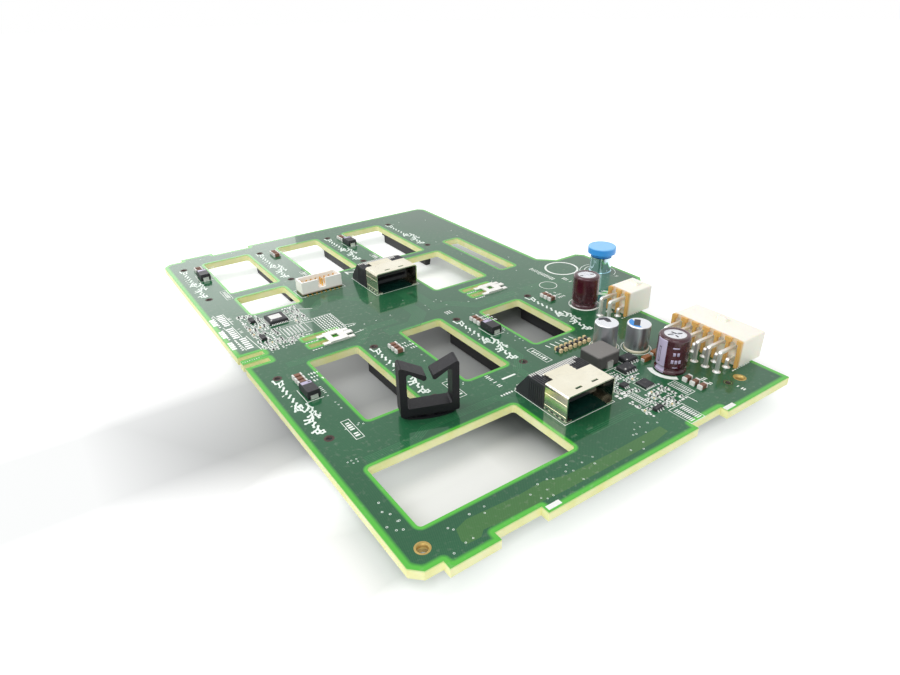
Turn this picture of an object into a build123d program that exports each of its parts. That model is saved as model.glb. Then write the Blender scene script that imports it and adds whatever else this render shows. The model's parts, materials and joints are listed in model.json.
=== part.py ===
# Drive backplane board of a server, with eight drive receptacles on its underside.
# Millimetres. The origin is the axis of the plated hole at the near left corner, on the underside
# of the laminate. +X runs along the near edge, +Y runs to the far edge, +Z points at the parts.
import os
from math import cos, radians, sin

from build123d import *

os.makedirs("parts", exist_ok=True)

# Laminate: a rectangle, a wider far end and a tab that carries the release pin
BOARD_T = 2.8
LEFT_EDGE = -5.9
NEAR_EDGE = -8.3
FAR_EDGE = 212.6
RIGHT_EDGE = 131.5
FAR_END_STEP = 3.8
TAB_REACH = 24.8
TAB_NEAR = 69.5
TAB_WIDTH = 38.7
TAB_SHOULDER = 6.3
CORNER_CUT = 2.8
EDGE_STEP = 2.6
WINDOW_FILLET = 1.2
TOP = BOARD_T

# Stretches of the near and far edges that lie back by EDGE_STEP, as (start, end) along X
NEAR_STEPS = [(LEFT_EDGE, 1.7), (15.8, 30.0), (86.2, 100.0)]
FAR_STEPS = [(LEFT_EDGE, 2.6), (16.9, 34.3)]

# Drive receptacles: four columns, two rows, two pegs each
COLUMN_X = 0.3
COLUMN_PITCH = 35.1
COLUMNS = 4
NEAR_ROW_Y = 48.2
ROW_PITCH = 112.1
PEG_SPACING = 38.3
PEG_D = 1.8
PEG_FIT = 0.1
PEG_SHORT = 0.4
FLANGE_L = 44.3
FLANGE_W = 5.2
FLANGE_H = 2.9
TOWER_L = 41.0
TOWER_W = 4.5
TOWER_H = 4.3
TOWER_TAPER = 0.5
BODY_FILLET = 0.6
SOCKET_L = 33.4
SOCKET_W = 2.0
SOCKET_FLOOR = 1.5
SOCKET_KEY = 1.1
KEY_REACH = 0.7
EAR_L = 2.6
EAR_W = 2.4
EAR_DEPTH = 3.4

# Blade contacts in the receptacles
BLADE_W = 0.5
BLADE_T = 0.3
BLADE_SHORT = 0.8
BLADE_PITCH = 1.27
POWER_BLADES = 15
SIGNAL_BLADES = 7
SECOND_PORT_BLADES = 7
SECOND_PORT_PITCH = 0.8
SOCKET_END_GAP = 1.6

# Windows for the air flow, as (column, start after it, width, y start, height)
WINDOWS = [
    (0, 12.5, 17.9, 49.5, 40.8),
    (1, 13.2, 16.7, 49.9, 40.6),
    (2, 11.3, 18.3, 55.0, 31.1),
    (0, 9.3, 20.4, 161.3, 39.2),
    (0, 9.3, 20.2, 136.5, 18.3),
    (1, 9.4, 20.2, 155.8, 44.7),
    (2, 9.4, 20.2, 155.8, 44.7),
    (2, 8.8, 25.4, 113.3, 37.0),
    (3, 8.9, 8.1, 114.5, 45.0),
    (0, 2.3, 49.7, 5.5, 25.6),
]

# Slots that hook over the chassis: one open pair in the left edge and two closed pairs
SLOT_W = 2.6
SLOT_NEAR_Y = 100.0
SLOT_SPACING = 5.7
OPEN_SLOT_END = 2.8
PAIR_X = 17.3
PAIR_PITCH = 70.1
PAIR_L = 13.5

# Plated mounting holes and the small tooling hole
MOUNT_D = 3.0
MOUNT_PITCH = 118.8
MOUNT_RISE = 0.6
TOOLING_D = 2.0
TOOLING_X = 113.3
TOOLING_Y = 1.0

# Stamped clips beside the closed slots, measured from the start of their slots
HOOK_START = 6.8
HOOK_L = 7.2
HOOK_RAIL_W = 1.7
HOOK_H = 0.9
HOOK_T = 0.5
HOOK_WINDOW_L = 2.4
HOOK_WINDOW_W = 2.8
HOOK_WINDOW_START = 2.2
HOOK_LEAF_L = 2.8
HOOK_FOOT_L = 2.4
HOOK_FOOT_W = 2.1

# Shielded cable ports
PORT_X = 67.05
PORT_FRONT = 14.8
PORT_PITCH = 108.7
SHELL_W = 19.0
SHELL_H = 8.8
SHELL_T = 0.4
SHELL_D = 9.4
SHELL_FILLET = 1.0
SHELL_FOOT_W = 2.4
SHELL_TONGUE_W = 9.5
SHELL_TONGUE_X = PORT_X - 1.55
SHELL_TONGUE_D = 4.2
SHELL_RIB_W = 1.0
SHELL_RIB_H = 0.35
LATCH_WINDOW_L = 2.4
LATCH_WINDOW_W = 0.8
LATCH_WINDOW_SPACING = 6.4
LATCH_WINDOW_BACK = 2.2
NOSE_D = 4.6
NOSE_W = 15.0
NOSE_H = 4.4
NOSE_RISE = 2.0
NOSE_LEAD_IN = 0.3
CARD_SLOT_W = 13.2
CARD_SLOT_H = 1.3
CARD_SLOT_D = 6.0
BLOCK_W = 19.6
BLOCK_D = 12.0
BLOCK_H = 7.9
BLOCK_BACK_H = 1.6
BLOCK_SLOPE = 4.9
LEADS = 18
LEAD_PITCH = 0.8
LEAD_W = 0.4
LEAD_T = 0.25
LEAD_REACH = 1.2
LEAD_FOOT = 0.8

# Right angle power headers: two rows of square cells, pins bent down into the board
CELL_PITCH = 4.2
CELL = 3.5
HEADER_WALL = 0.95
HEADER_H = 9.6
HEADER_D = 13.0
HEADER_BACK = 122.3
HEADER_FILLET = 0.5
CELL_DEPTH = 9.8
LOW_ROW = 2.7
PIN_W = 1.0
PIN_SETBACK = 2.6
UPPER_DROP = 6.3
LOWER_DROP = 1.2
PIN_BEND = 1.2
PIN_TAIL = 1.2
PIN_HOLE_D = 1.8
POCKET_W = 3.2
POCKET_H = 8.2
POCKET_D = 1.6
NOTCH_W = 2.0
NOTCH_D = 1.2
RAMP_W = 3.4
RAMP_L = 3.2
RAMP_H = 1.4
RAMP_BACK = 1.6
LONG_HEADER_Y = 17.5
LONG_HEADER_COLUMNS = 6
SHORT_HEADER_Y = 55.1
SHORT_HEADER_COLUMNS = 2

# Keyed box header with surface mounted gold pins
BOX_X = 41.1
BOX_FRONT = 140.3
BOX_L = 17.6
BOX_W = 6.4
BOX_H = 5.7
BOX_WALL = 0.75
BOX_FLOOR = 1.2
BOX_LIFT = 0.4
KEY_W = 3.2
KEY_DEPTH = 3.8
POST_PITCH = 2.0
POSTS = 8
POST_W = 0.5
POST_SHORT = 0.9
POST_FOOT = 1.3
POST_FOOT_T = 0.3

# Tall capacitors in a shrunk sleeve, as (x, y)
TALL_CAPS = [(118.3, 67.6), (106.0, 17.3)]
TALL_R = 5.0
TALL_H = 12.6
SLEEVE_T = 0.2
CRIMP_LOW = 1.7
CRIMP_HALF = 0.9
CRIMP_DEPTH = 0.5
TALL_SHOULDER = 0.9
RIM_IN = 0.8
VENT_L = 5.2
VENT_W = 0.3
VENT_DEPTH = 0.2

# Bare can capacitors on a moulded seat, as (x, y)
CAN_CAPS = [(99.5, 39.6), (107.6, 32.6)]
CAN_R = 4.0
CAN_H = 9.6
CAN_SHOULDER = 0.5
SEAT_R = 4.3
SEAT_H = 0.8

# Power inductor
INDUCTOR_AT = (90.3, 33.3)
INDUCTOR_SIDE = 10.0
INDUCTOR_H = 5.0
INDUCTOR_CHAMFER = 0.8
INDUCTOR_TAB_W = 2.4
INDUCTOR_TAB_T = 0.5
INDUCTOR_TAB_H = 2.6
INDUCTOR_FOOT = 1.3

# Moulded capacitors with end terminals, as (x, y) with their length along Y
MOULDED_CAPS = [(5.3, 72.3), (75.8, 72.3), (5.3, 184.5), (75.8, 184.5)]
MOULDED_L = 7.0
MOULDED_W = 4.3
MOULDED_H = 2.8
MOULDED_WAIST = 1.3
MOULDED_TAPER = 8
MOULDED_TAB_W = 2.4
MOULDED_TAB_T = 0.15

# Small ceramic capacitors: groups of three along Y, a row beside the cans and a wider group of
# three near the edge
CHIP_CAP = (1.6, 3.2, 1.5)
CHIP_CAP_STEP = 2.2
CHIP_CAP_TRIPLES = [
    (5.6, 80.6),
    (40.7, 80.3),
    (75.8, 80.3),
    (110.8, 80.2),
    (5.6, 192.6),
    (40.7, 192.4),
    (75.8, 192.4),
]
CHIP_CAP_ROW = (91.2, 46.3)
CHIP_CAP_ROW_COUNT = 7
CHIP_CAP_STACK = (104.3, 6.6)
CHIP_CAP_WIDE_STEP = 2.75

# Integrated circuits, as (node, x, y, length along X, length along Y, height)
CHIPS = [
    ("control_chip", 15.6, 126.8, 7.0, 7.0, 1.4),
    ("driver_chip_1", 98.8, 28.6, 5.0, 4.0, 1.5),
    ("driver_chip_2", 93.8, 24.8, 5.0, 4.0, 1.5),
    ("regulator_chip", 91.8, 15.5, 4.0, 4.0, 0.9),
]
CHIP_BEVEL = 0.3

# Release pin on the tab: a spring loaded shaft in a barrel, pulled up by a cap
RELEASE_X = 147.7
RELEASE_Y = 87.3
BARREL_R = 4.5
BARREL_H = 7.2
BARREL_BORE_R = 3.6
BARREL_ROOF = 0.9
BARREL_FOOT_R = 4.75
BARREL_FOOT_H = 0.8
SPIGOT_R = 3.9
SPIGOT_FLOOR = 1.0
SHAFT_R = 2.0
SHAFT_FIT = 0.08
COLLAR_R = 3.35
COLLAR_H = 1.0
COLLAR_LIFT = 0.3
NOSE_BELOW = 3.3
NOSE_CHAMFER = 0.8
SPRING_R = 2.75
SPRING_WIRE_R = 0.2
SPRING_TURNS = 5
SPRING_GAP = 0.05
CAP_R = 5.9
CAP_H = 4.3
CAP_GAP = 0.3
CAP_NECK_R = 4.3
CAP_NECK_H = 0.4
CAP_CONE_H = 1.0
CAP_EDGE = 0.6
CAP_BORE_DEPTH = 3.0

# Cable clip: an open ring with two lips that slope inwards, raised on an oval pad with a snap foot
CLIP_X = 29.3
CLIP_Y = 42.3
CLIP_TURN = -20
CLIP_W = 17.3
CLIP_H = 18.1
CLIP_DEPTH = 5.4
CLIP_WALL = 2.1
CLIP_BASE_T = 2.6
CLIP_LIFT = 1.5
CLIP_GAP = 1.7
CLIP_LIP_DROP = 3.9
CLIP_LIP_T = 2.0
CLIP_FILLET = 0.7
CLIP_PAD_L = 16.4
CLIP_PAD_W = 5.8
CLIP_PAD_T = 0.7
CLIP_NECK_R = 2.5
FOOT_R = 2.0
FOOT_FIT = 0.1
BARB_R = 2.7
BARB_H = 2.2
BARB_SPLIT = 0.9

# Places that several pieces share
COLUMN_XS = [COLUMN_X + COLUMN_PITCH * i for i in range(COLUMNS)]
ROW_MIDDLES = [NEAR_ROW_Y + PEG_SPACING / 2 + ROW_PITCH * i for i in range(2)]
SLOT_YS = [SLOT_NEAR_Y, SLOT_NEAR_Y + SLOT_SPACING]
PAIR_XS = [PAIR_X, PAIR_X + PAIR_PITCH]
HEADERS = [
    ("power_header_12", LONG_HEADER_Y, LONG_HEADER_COLUMNS),
    ("power_header_4", SHORT_HEADER_Y, SHORT_HEADER_COLUMNS),
]
UPPER_DROP_X = HEADER_BACK - UPPER_DROP
LOWER_DROP_X = HEADER_BACK - LOWER_DROP
ROW_HEIGHTS = [LOW_ROW, LOW_ROW + CELL_PITCH]


def write(piece, node):
    """Label a finished piece and write its file."""
    piece.part.label = node
    export_step(piece.part, f"parts/{node}.step")


def area(x, y, mode=Mode.ADD):
    """A rectangle in the current sketch, from its (low, high) pair along each axis."""
    with Locations((x[0], y[0])):
        Rectangle(x[1] - x[0], y[1] - y[0], align=Align.MIN, mode=mode)


def block(x, y, z, mode=Mode.ADD):
    """A cuboid in the current part, from its (low, high) pair along each axis."""
    with Locations((x[0], y[0], z[0])):
        Box(x[1] - x[0], y[1] - y[0], z[1] - z[0], align=Align.MIN, mode=mode)


def span(centre, length):
    """The (low, high) pair of a length about its centre."""
    return centre - length / 2, centre + length / 2


def columns_of(middle, count, pitch):
    """Places of a row of count items about its middle."""
    return [middle + pitch * (i - (count - 1) / 2) for i in range(count)]


# Laminate
with BuildPart() as board:
    with BuildSketch() as outline:
        area((LEFT_EDGE, RIGHT_EDGE), (NEAR_EDGE, FAR_EDGE))
        far_end_right = RIGHT_EDGE + FAR_END_STEP
        tab_far = TAB_NEAR + TAB_WIDTH
        area((RIGHT_EDGE, far_end_right), (tab_far, FAR_EDGE))
        area((RIGHT_EDGE, RIGHT_EDGE + TAB_REACH), (TAB_NEAR, tab_far))
        with BuildLine():
            Polyline(
                (far_end_right, tab_far),
                (far_end_right + TAB_SHOULDER, tab_far),
                (far_end_right, tab_far + TAB_SHOULDER),
                close=True,
            )
        make_face()
        for start, end in NEAR_STEPS:
            area((start, end), (NEAR_EDGE, NEAR_EDGE + EDGE_STEP), mode=Mode.SUBTRACT)
        for start, end in FAR_STEPS:
            area((start, end), (FAR_EDGE - EDGE_STEP, FAR_EDGE), mode=Mode.SUBTRACT)
        for slot_y in SLOT_YS:
            area((LEFT_EDGE, OPEN_SLOT_END), span(slot_y, SLOT_W), mode=Mode.SUBTRACT)
    extrude(amount=BOARD_T)
    uprights = board.edges().filter_by(Axis.Z)
    outer_corners = [
        (LEFT_EDGE, NEAR_EDGE + EDGE_STEP, 0),
        (LEFT_EDGE, FAR_EDGE - EDGE_STEP, 0),
        (far_end_right, FAR_EDGE, 0),
        (RIGHT_EDGE + TAB_REACH, TAB_NEAR, 0),
        (RIGHT_EDGE + TAB_REACH, TAB_NEAR + TAB_WIDTH, 0),
    ]
    chamfer([uprights.sort_by_distance(corner)[0] for corner in outer_corners], CORNER_CUT)

    with BuildSketch() as windows:
        for column, start, width, low, height in WINDOWS:
            x = COLUMN_XS[column] + start
            with Locations((x + width / 2, low + height / 2)):
                RectangleRounded(width, height, WINDOW_FILLET)
        for pair_x in PAIR_XS:
            for slot_y in SLOT_YS:
                area((pair_x, pair_x + PAIR_L), span(slot_y, SLOT_W))
    extrude(amount=BOARD_T, mode=Mode.SUBTRACT)

    with BuildSketch() as holes:
        for column_x in COLUMN_XS:
            for middle in ROW_MIDDLES:
                for peg_y in span(middle, PEG_SPACING):
                    with Locations((column_x, peg_y)):
                        Circle(PEG_D / 2 + PEG_FIT)
        with Locations((0, 0), (MOUNT_PITCH, MOUNT_RISE)):
            Circle(MOUNT_D / 2)
        with Locations((TOOLING_X, TOOLING_Y)):
            Circle(TOOLING_D / 2)
        for node, middle, count in HEADERS:
            for pin_y in columns_of(middle, count, CELL_PITCH):
                with Locations((UPPER_DROP_X, pin_y), (LOWER_DROP_X, pin_y)):
                    Circle(PIN_HOLE_D / 2)
        with Locations((RELEASE_X, RELEASE_Y)):
            Circle(SPIGOT_R)
        with Locations((CLIP_X, CLIP_Y)):
            Circle(FOOT_R + FOOT_FIT)
    extrude(amount=BOARD_T, mode=Mode.SUBTRACT)
write(board, "board")


def receptacle_housing(column_x, middle):
    """Moulded housing that hangs under the board, with a keyed socket that opens downwards."""
    tower_bottom = -(FLANGE_H + TOWER_H)
    with BuildPart() as housing:
        with BuildSketch(Plane.XY):
            with Locations((column_x, middle)):
                RectangleRounded(FLANGE_W, FLANGE_L, BODY_FILLET)
        extrude(amount=-FLANGE_H)
        with BuildSketch(Plane.XY.offset(-FLANGE_H)):
            with Locations((column_x, middle)):
                RectangleRounded(TOWER_W, TOWER_L, BODY_FILLET)
        extrude(amount=-TOWER_H)
        rim = housing.faces().sort_by(Axis.Z)[0]
        chamfer(rim.edges(), TOWER_TAPER)
        with BuildSketch(Plane.XY.offset(tower_bottom)):
            with Locations((column_x, middle)):
                Rectangle(SOCKET_W, SOCKET_L)
            for end in span(middle, SOCKET_L - SOCKET_KEY):
                with Locations((column_x - SOCKET_W / 2, end)):
                    Rectangle(2 * KEY_REACH, SOCKET_KEY)
        extrude(amount=-(tower_bottom + SOCKET_FLOOR), mode=Mode.SUBTRACT)
        with BuildSketch(Plane.XY.offset(tower_bottom)):
            for end in span(middle, TOWER_L - EAR_L):
                with Locations((column_x + TOWER_W / 2 - EAR_W / 2 + TOWER_TAPER, end)):
                    Rectangle(EAR_W, EAR_L)
        extrude(amount=EAR_DEPTH, mode=Mode.SUBTRACT)
        for peg_y in span(middle, PEG_SPACING):
            with BuildSketch(Plane.XY):
                with Locations((column_x, peg_y)):
                    Circle(PEG_D / 2)
            extrude(amount=BOARD_T - PEG_SHORT)
    return housing


def receptacle_contacts(column_x, middle):
    """Blades that stand on the socket's floor: power and first port on one side, second port facing."""
    depth = (-(FLANGE_H + TOWER_H) + BLADE_SHORT, -SOCKET_FLOOR)
    wall = SOCKET_W / 2
    near_end = middle - SOCKET_L / 2 + SOCKET_END_GAP
    far_end = middle + SOCKET_L / 2 - SOCKET_END_GAP
    with BuildPart() as contacts:
        for i in range(POWER_BLADES):
            blade_y = near_end + BLADE_PITCH * i
            block((column_x + wall - BLADE_T, column_x + wall), span(blade_y, BLADE_W), depth)
        for i in range(SIGNAL_BLADES):
            blade_y = far_end - BLADE_PITCH * i
            block((column_x + wall - BLADE_T, column_x + wall), span(blade_y, BLADE_W), depth)
        gap_middle = far_end - BLADE_PITCH * SIGNAL_BLADES
        for blade_y in columns_of(gap_middle, SECOND_PORT_BLADES, SECOND_PORT_PITCH):
            block((column_x - wall, column_x - wall + BLADE_T), span(blade_y, BLADE_W), depth)
    return contacts


number = 0
for middle in ROW_MIDDLES:
    for column_x in COLUMN_XS:
        number += 1
        write(receptacle_housing(column_x, middle), f"receptacle_{number}")
        write(receptacle_contacts(column_x, middle), f"receptacle_{number}_contacts")


def port_shell(front):
    """Folded sheet cage: roof, walls and turned in feet, a ribbed tongue at the back of the roof."""
    back = front + SHELL_D
    roof = TOP + SHELL_H
    with BuildPart() as shell:
        with BuildSketch(Plane.XZ.offset(-front)) as cage:
            area(span(PORT_X, SHELL_W), (TOP, roof))
            fillet(cage.vertices().group_by(Axis.Y)[-1], SHELL_FILLET)
            with BuildSketch(mode=Mode.SUBTRACT) as inside:
                area(span(PORT_X, SHELL_W - 2 * SHELL_T), (TOP + SHELL_T, roof - SHELL_T))
                fillet(inside.vertices().group_by(Axis.Y)[-1], SHELL_FILLET - SHELL_T)
            area(span(PORT_X, SHELL_W - 2 * SHELL_FOOT_W), (TOP, TOP + SHELL_T), mode=Mode.SUBTRACT)
        extrude(amount=-SHELL_D)
        tongue_end = back + SHELL_TONGUE_D
        block(span(SHELL_TONGUE_X, SHELL_TONGUE_W), (back, tongue_end), (roof - SHELL_T, roof))
        for rib_y in columns_of(back + SHELL_TONGUE_D / 2, 3, SHELL_RIB_W + SHELL_RIB_H):
            with BuildSketch(Plane.YZ.offset(SHELL_TONGUE_X - SHELL_TONGUE_W / 2)):
                with Locations((rib_y, roof - SHELL_RIB_H / 2)):
                    Circle(SHELL_RIB_H)
            extrude(amount=SHELL_TONGUE_W)
        with BuildSketch(Plane.XY.offset(roof - SHELL_T)):
            for x in span(PORT_X, LATCH_WINDOW_SPACING):
                with Locations((x, front + LATCH_WINDOW_BACK)):
                    Rectangle(LATCH_WINDOW_L, LATCH_WINDOW_W)
        extrude(amount=SHELL_T, mode=Mode.SUBTRACT)
    return shell


def port_insulator(front):
    """Moulded block behind the cage, with a slotted nose inside it and a sloped back for the leads."""
    back = front + SHELL_D
    with BuildPart() as insulator:
        with BuildSketch(Plane.YZ.offset(PORT_X - BLOCK_W / 2)):
            with BuildLine():
                Polyline(
                    (back, TOP),
                    (back + BLOCK_D, TOP),
                    (back + BLOCK_D, TOP + BLOCK_BACK_H),
                    (back + BLOCK_D - BLOCK_SLOPE, TOP + BLOCK_H),
                    (back, TOP + BLOCK_H),
                    close=True,
                )
            make_face()
        extrude(amount=BLOCK_W)
        nose_base = TOP + NOSE_RISE
        block(span(PORT_X, NOSE_W), (back - NOSE_D, back), (nose_base, nose_base + NOSE_H))
        chamfer(insulator.faces().sort_by(Axis.Y)[0].edges(), NOSE_LEAD_IN)
        slot_z = nose_base + NOSE_H / 2
        slot_front = back - NOSE_D
        block(
            span(PORT_X, CARD_SLOT_W),
            (slot_front, slot_front + CARD_SLOT_D),
            span(slot_z, CARD_SLOT_H),
            mode=Mode.SUBTRACT,
        )
    return insulator


def port_leads(front):
    """Fine leads along the block's top and down its slope, ending in flat feet on the board."""
    block_back = front + SHELL_D + BLOCK_D
    top_start = (front + SHELL_D + SHELL_TONGUE_D, TOP + BLOCK_H)
    slope_top = (block_back - BLOCK_SLOPE, TOP + BLOCK_H)
    slope_end = (block_back, TOP + BLOCK_BACK_H)
    knee = block_back + LEAD_REACH / 2
    with BuildPart() as leads:
        for x in columns_of(PORT_X, LEADS, LEAD_PITCH):
            with BuildSketch(Plane.YZ.offset(x - LEAD_W / 2)):
                with BuildLine():
                    Polyline(
                        top_start,
                        slope_top,
                        slope_end,
                        (knee - LEAD_T, slope_end[1]),
                        (knee - LEAD_T, TOP),
                        (knee + LEAD_FOOT, TOP),
                        (knee + LEAD_FOOT, TOP + LEAD_T),
                        (knee, TOP + LEAD_T),
                        (knee, slope_end[1] + LEAD_T),
                        (slope_end[0], slope_end[1] + LEAD_T),
                        (slope_top[0], slope_top[1] + LEAD_T),
                        (top_start[0], top_start[1] + LEAD_T),
                        close=True,
                    )
                make_face()
            extrude(amount=LEAD_W)
    return leads


for i in range(2):
    port_front = PORT_FRONT + PORT_PITCH * i
    write(port_shell(port_front), f"port_{i + 1}_shell")
    write(port_insulator(port_front), f"port_{i + 1}_insulator")
    write(port_leads(port_front), f"port_{i + 1}_leads")


def header_housing(middle, count):
    """Nylon housing with two rows of cells, a notched and pocketed back and a latch ramp on its roof."""
    width = CELL_PITCH * (count - 1) + CELL + 2 * HEADER_WALL
    front = HEADER_BACK + HEADER_D
    with BuildPart() as housing:
        with BuildSketch(Plane.YZ.offset(HEADER_BACK)):
            with Locations((middle, TOP + HEADER_H / 2)):
                RectangleRounded(width, HEADER_H, HEADER_FILLET)
        extrude(amount=HEADER_D)
        cells = [(y, TOP + z) for y in columns_of(middle, count, CELL_PITCH) for z in ROW_HEIGHTS]
        with BuildSketch(Plane.YZ.offset(front - CELL_DEPTH)):
            with Locations(*cells):
                Rectangle(CELL, CELL)
        extrude(amount=CELL_DEPTH, mode=Mode.SUBTRACT)
        with BuildSketch(Plane.YZ.offset(HEADER_BACK)):
            for y in columns_of(middle, count, CELL_PITCH):
                area(span(y, POCKET_W), (TOP, TOP + POCKET_H))
        extrude(amount=POCKET_D, mode=Mode.SUBTRACT)
        with BuildSketch(Plane.YZ.offset(HEADER_BACK)):
            for y in columns_of(middle, count, CELL_PITCH):
                area(span(y, NOTCH_W), (TOP + POCKET_H, TOP + HEADER_H))
        extrude(amount=NOTCH_D, mode=Mode.SUBTRACT)
        with BuildSketch(Plane.YZ.offset(HEADER_BACK)):
            with Locations(*cells):
                Rectangle(PIN_W, PIN_W)
        extrude(amount=HEADER_D - CELL_DEPTH, mode=Mode.SUBTRACT)
        with BuildSketch(Plane.XZ.offset(-(middle - RAMP_W / 2))):
            with BuildLine():
                Polyline(
                    (front - RAMP_BACK, TOP + HEADER_H),
                    (front - RAMP_BACK - RAMP_L, TOP + HEADER_H),
                    (front - RAMP_BACK - RAMP_L, TOP + HEADER_H + RAMP_H),
                    close=True,
                )
            make_face()
        extrude(amount=-RAMP_W)
    return housing


def header_pins(middle, count):
    """Square pins, one per cell, bent down behind the housing and through the board."""
    tip = HEADER_BACK + HEADER_D - PIN_SETBACK
    with BuildPart() as pins:
        for y in columns_of(middle, count, CELL_PITCH):
            for row_z, drop_x in zip(ROW_HEIGHTS, (LOWER_DROP_X, UPPER_DROP_X)):
                low = TOP + row_z - PIN_W / 2
                high = TOP + row_z + PIN_W / 2
                left = drop_x - PIN_W / 2
                right = drop_x + PIN_W / 2
                with BuildSketch(Plane.XZ.offset(-(y - PIN_W / 2))) as bent:
                    with BuildLine():
                        Polyline(
                            (tip, low),
                            (tip, high),
                            (left, high),
                            (left, -PIN_TAIL),
                            (right, -PIN_TAIL),
                            (right, low),
                            close=True,
                        )
                    make_face()
                    fillet(bent.vertices().sort_by_distance((left, high, 0))[0], PIN_BEND)
                extrude(amount=-PIN_W)
    return pins


for node, middle, count in HEADERS:
    write(header_housing(middle, count), f"{node}_housing")
    write(header_pins(middle, count), f"{node}_pins")

# Keyed box header
BOX_BASE = TOP + BOX_LIFT
with BuildPart() as box_header_housing:
    block(span(BOX_X, BOX_L), (BOX_FRONT, BOX_FRONT + BOX_W), (BOX_BASE, TOP + BOX_H))
    block(
        span(BOX_X, BOX_L - 2 * BOX_WALL),
        (BOX_FRONT + BOX_WALL, BOX_FRONT + BOX_W - BOX_WALL),
        (BOX_BASE + BOX_FLOOR, TOP + BOX_H),
        mode=Mode.SUBTRACT,
    )
    block(
        span(BOX_X, KEY_W),
        (BOX_FRONT, BOX_FRONT + BOX_WALL),
        (TOP + BOX_H - KEY_DEPTH, TOP + BOX_H),
        mode=Mode.SUBTRACT,
    )
    for pad_x in span(BOX_X, BOX_L - BOX_WALL):
        block(span(pad_x, BOX_WALL), (BOX_FRONT, BOX_FRONT + BOX_W), (TOP, BOX_BASE))
    post_rows = span(BOX_FRONT + BOX_W / 2, POST_PITCH)
    post_xs = columns_of(BOX_X, POSTS, POST_PITCH)
    with BuildSketch(Plane.XY.offset(BOX_BASE)):
        for x in post_xs:
            with Locations((x, post_rows[0]), (x, post_rows[1])):
                Rectangle(POST_W, POST_W)
    extrude(amount=BOX_FLOOR, mode=Mode.SUBTRACT)
write(box_header_housing, "box_header_housing")

with BuildPart() as box_header_pins:
    post_top = TOP + BOX_H - POST_SHORT
    toe_ends = (BOX_FRONT - POST_FOOT, BOX_FRONT + BOX_W + POST_FOOT)
    for x in post_xs:
        for row_y, toe in zip(post_rows, toe_ends):
            block(span(x, POST_W), span(row_y, POST_W), (TOP, post_top))
            foot = (min(row_y, toe), max(row_y, toe))
            block(span(x, POST_W), foot, (TOP, TOP + POST_FOOT_T))
write(box_header_pins, "box_header_pins")


def can_profile(radius, height):
    """Half section of a rolled can: a crimp near its foot and a rounded shoulder."""
    with BuildLine() as profile:
        Line((0, 0), (radius, 0))
        Line((radius, 0), (radius, CRIMP_LOW - CRIMP_HALF))
        ThreePointArc(
            (radius, CRIMP_LOW - CRIMP_HALF),
            (radius - CRIMP_DEPTH, CRIMP_LOW),
            (radius, CRIMP_LOW + CRIMP_HALF),
        )
        Line((radius, CRIMP_LOW + CRIMP_HALF), (radius, height - TALL_SHOULDER))
        RadiusArc((radius, height - TALL_SHOULDER), (radius - TALL_SHOULDER, height), -TALL_SHOULDER)
        Line((radius - TALL_SHOULDER, height), (0, height))
        Line((0, height), (0, 0))
    return profile


for i, (x, y) in enumerate(TALL_CAPS):
    foot = Plane(origin=(x, y, TOP), x_dir=(1, 0, 0), z_dir=(0, -1, 0))
    with BuildPart() as can:
        with BuildSketch(foot):
            with BuildLine():
                add(can_profile(TALL_R - SLEEVE_T, TALL_H - SLEEVE_T).line)
            make_face()
        revolve(axis=Axis((x, y, TOP), (0, 0, 1)))
        with BuildSketch(Plane.XY.offset(TOP + TALL_H - SLEEVE_T)):
            with Locations((x, y)):
                Rectangle(VENT_L, VENT_W)
                Rectangle(VENT_W, VENT_L)
        extrude(amount=-VENT_DEPTH, mode=Mode.SUBTRACT)
    with BuildPart() as sleeve:
        with BuildSketch(foot):
            with BuildLine():
                add(can_profile(TALL_R, TALL_H).line)
            make_face()
        revolve(axis=Axis((x, y, TOP), (0, 0, 1)))
        with BuildSketch(foot):
            with BuildLine():
                add(can_profile(TALL_R - SLEEVE_T, TALL_H - SLEEVE_T).line)
            make_face()
        revolve(axis=Axis((x, y, TOP), (0, 0, 1)), mode=Mode.SUBTRACT)
        with BuildSketch(Plane.XY.offset(TOP + TALL_H)):
            with Locations((x, y)):
                Circle(TALL_R - TALL_SHOULDER - RIM_IN + SLEEVE_T)
        extrude(amount=-SLEEVE_T, mode=Mode.SUBTRACT)
    write(can, f"tall_cap_{i + 1}_can")
    write(sleeve, f"tall_cap_{i + 1}_sleeve")

for i, (x, y) in enumerate(CAN_CAPS):
    with BuildPart() as seat:
        with BuildSketch(Plane.XY.offset(TOP)):
            with Locations((x, y)):
                Circle(SEAT_R)
        extrude(amount=SEAT_H)
        chamfer(seat.faces().sort_by(Axis.Z)[-1].edges(), SEAT_H / 3)
    with BuildPart() as can:
        with BuildSketch(Plane.XY.offset(TOP + SEAT_H)):
            with Locations((x, y)):
                Circle(CAN_R)
        extrude(amount=CAN_H - SEAT_H)
        fillet(can.faces().sort_by(Axis.Z)[-1].edges(), CAN_SHOULDER)
    write(seat, f"can_cap_{i + 1}_seat")
    write(can, f"can_cap_{i + 1}_can")

# Power inductor
with BuildPart() as inductor_core:
    side = INDUCTOR_SIDE - 2 * INDUCTOR_TAB_T
    with BuildSketch(Plane.XY.offset(TOP + INDUCTOR_TAB_T)):
        with Locations(INDUCTOR_AT):
            Rectangle(INDUCTOR_SIDE, side)
    extrude(amount=INDUCTOR_H - INDUCTOR_TAB_T)
    chamfer(inductor_core.edges().filter_by(Axis.Z), INDUCTOR_CHAMFER)
    chamfer(inductor_core.faces().sort_by(Axis.Z)[-1].edges(), INDUCTOR_CHAMFER / 2)
write(inductor_core, "inductor_core")

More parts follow.
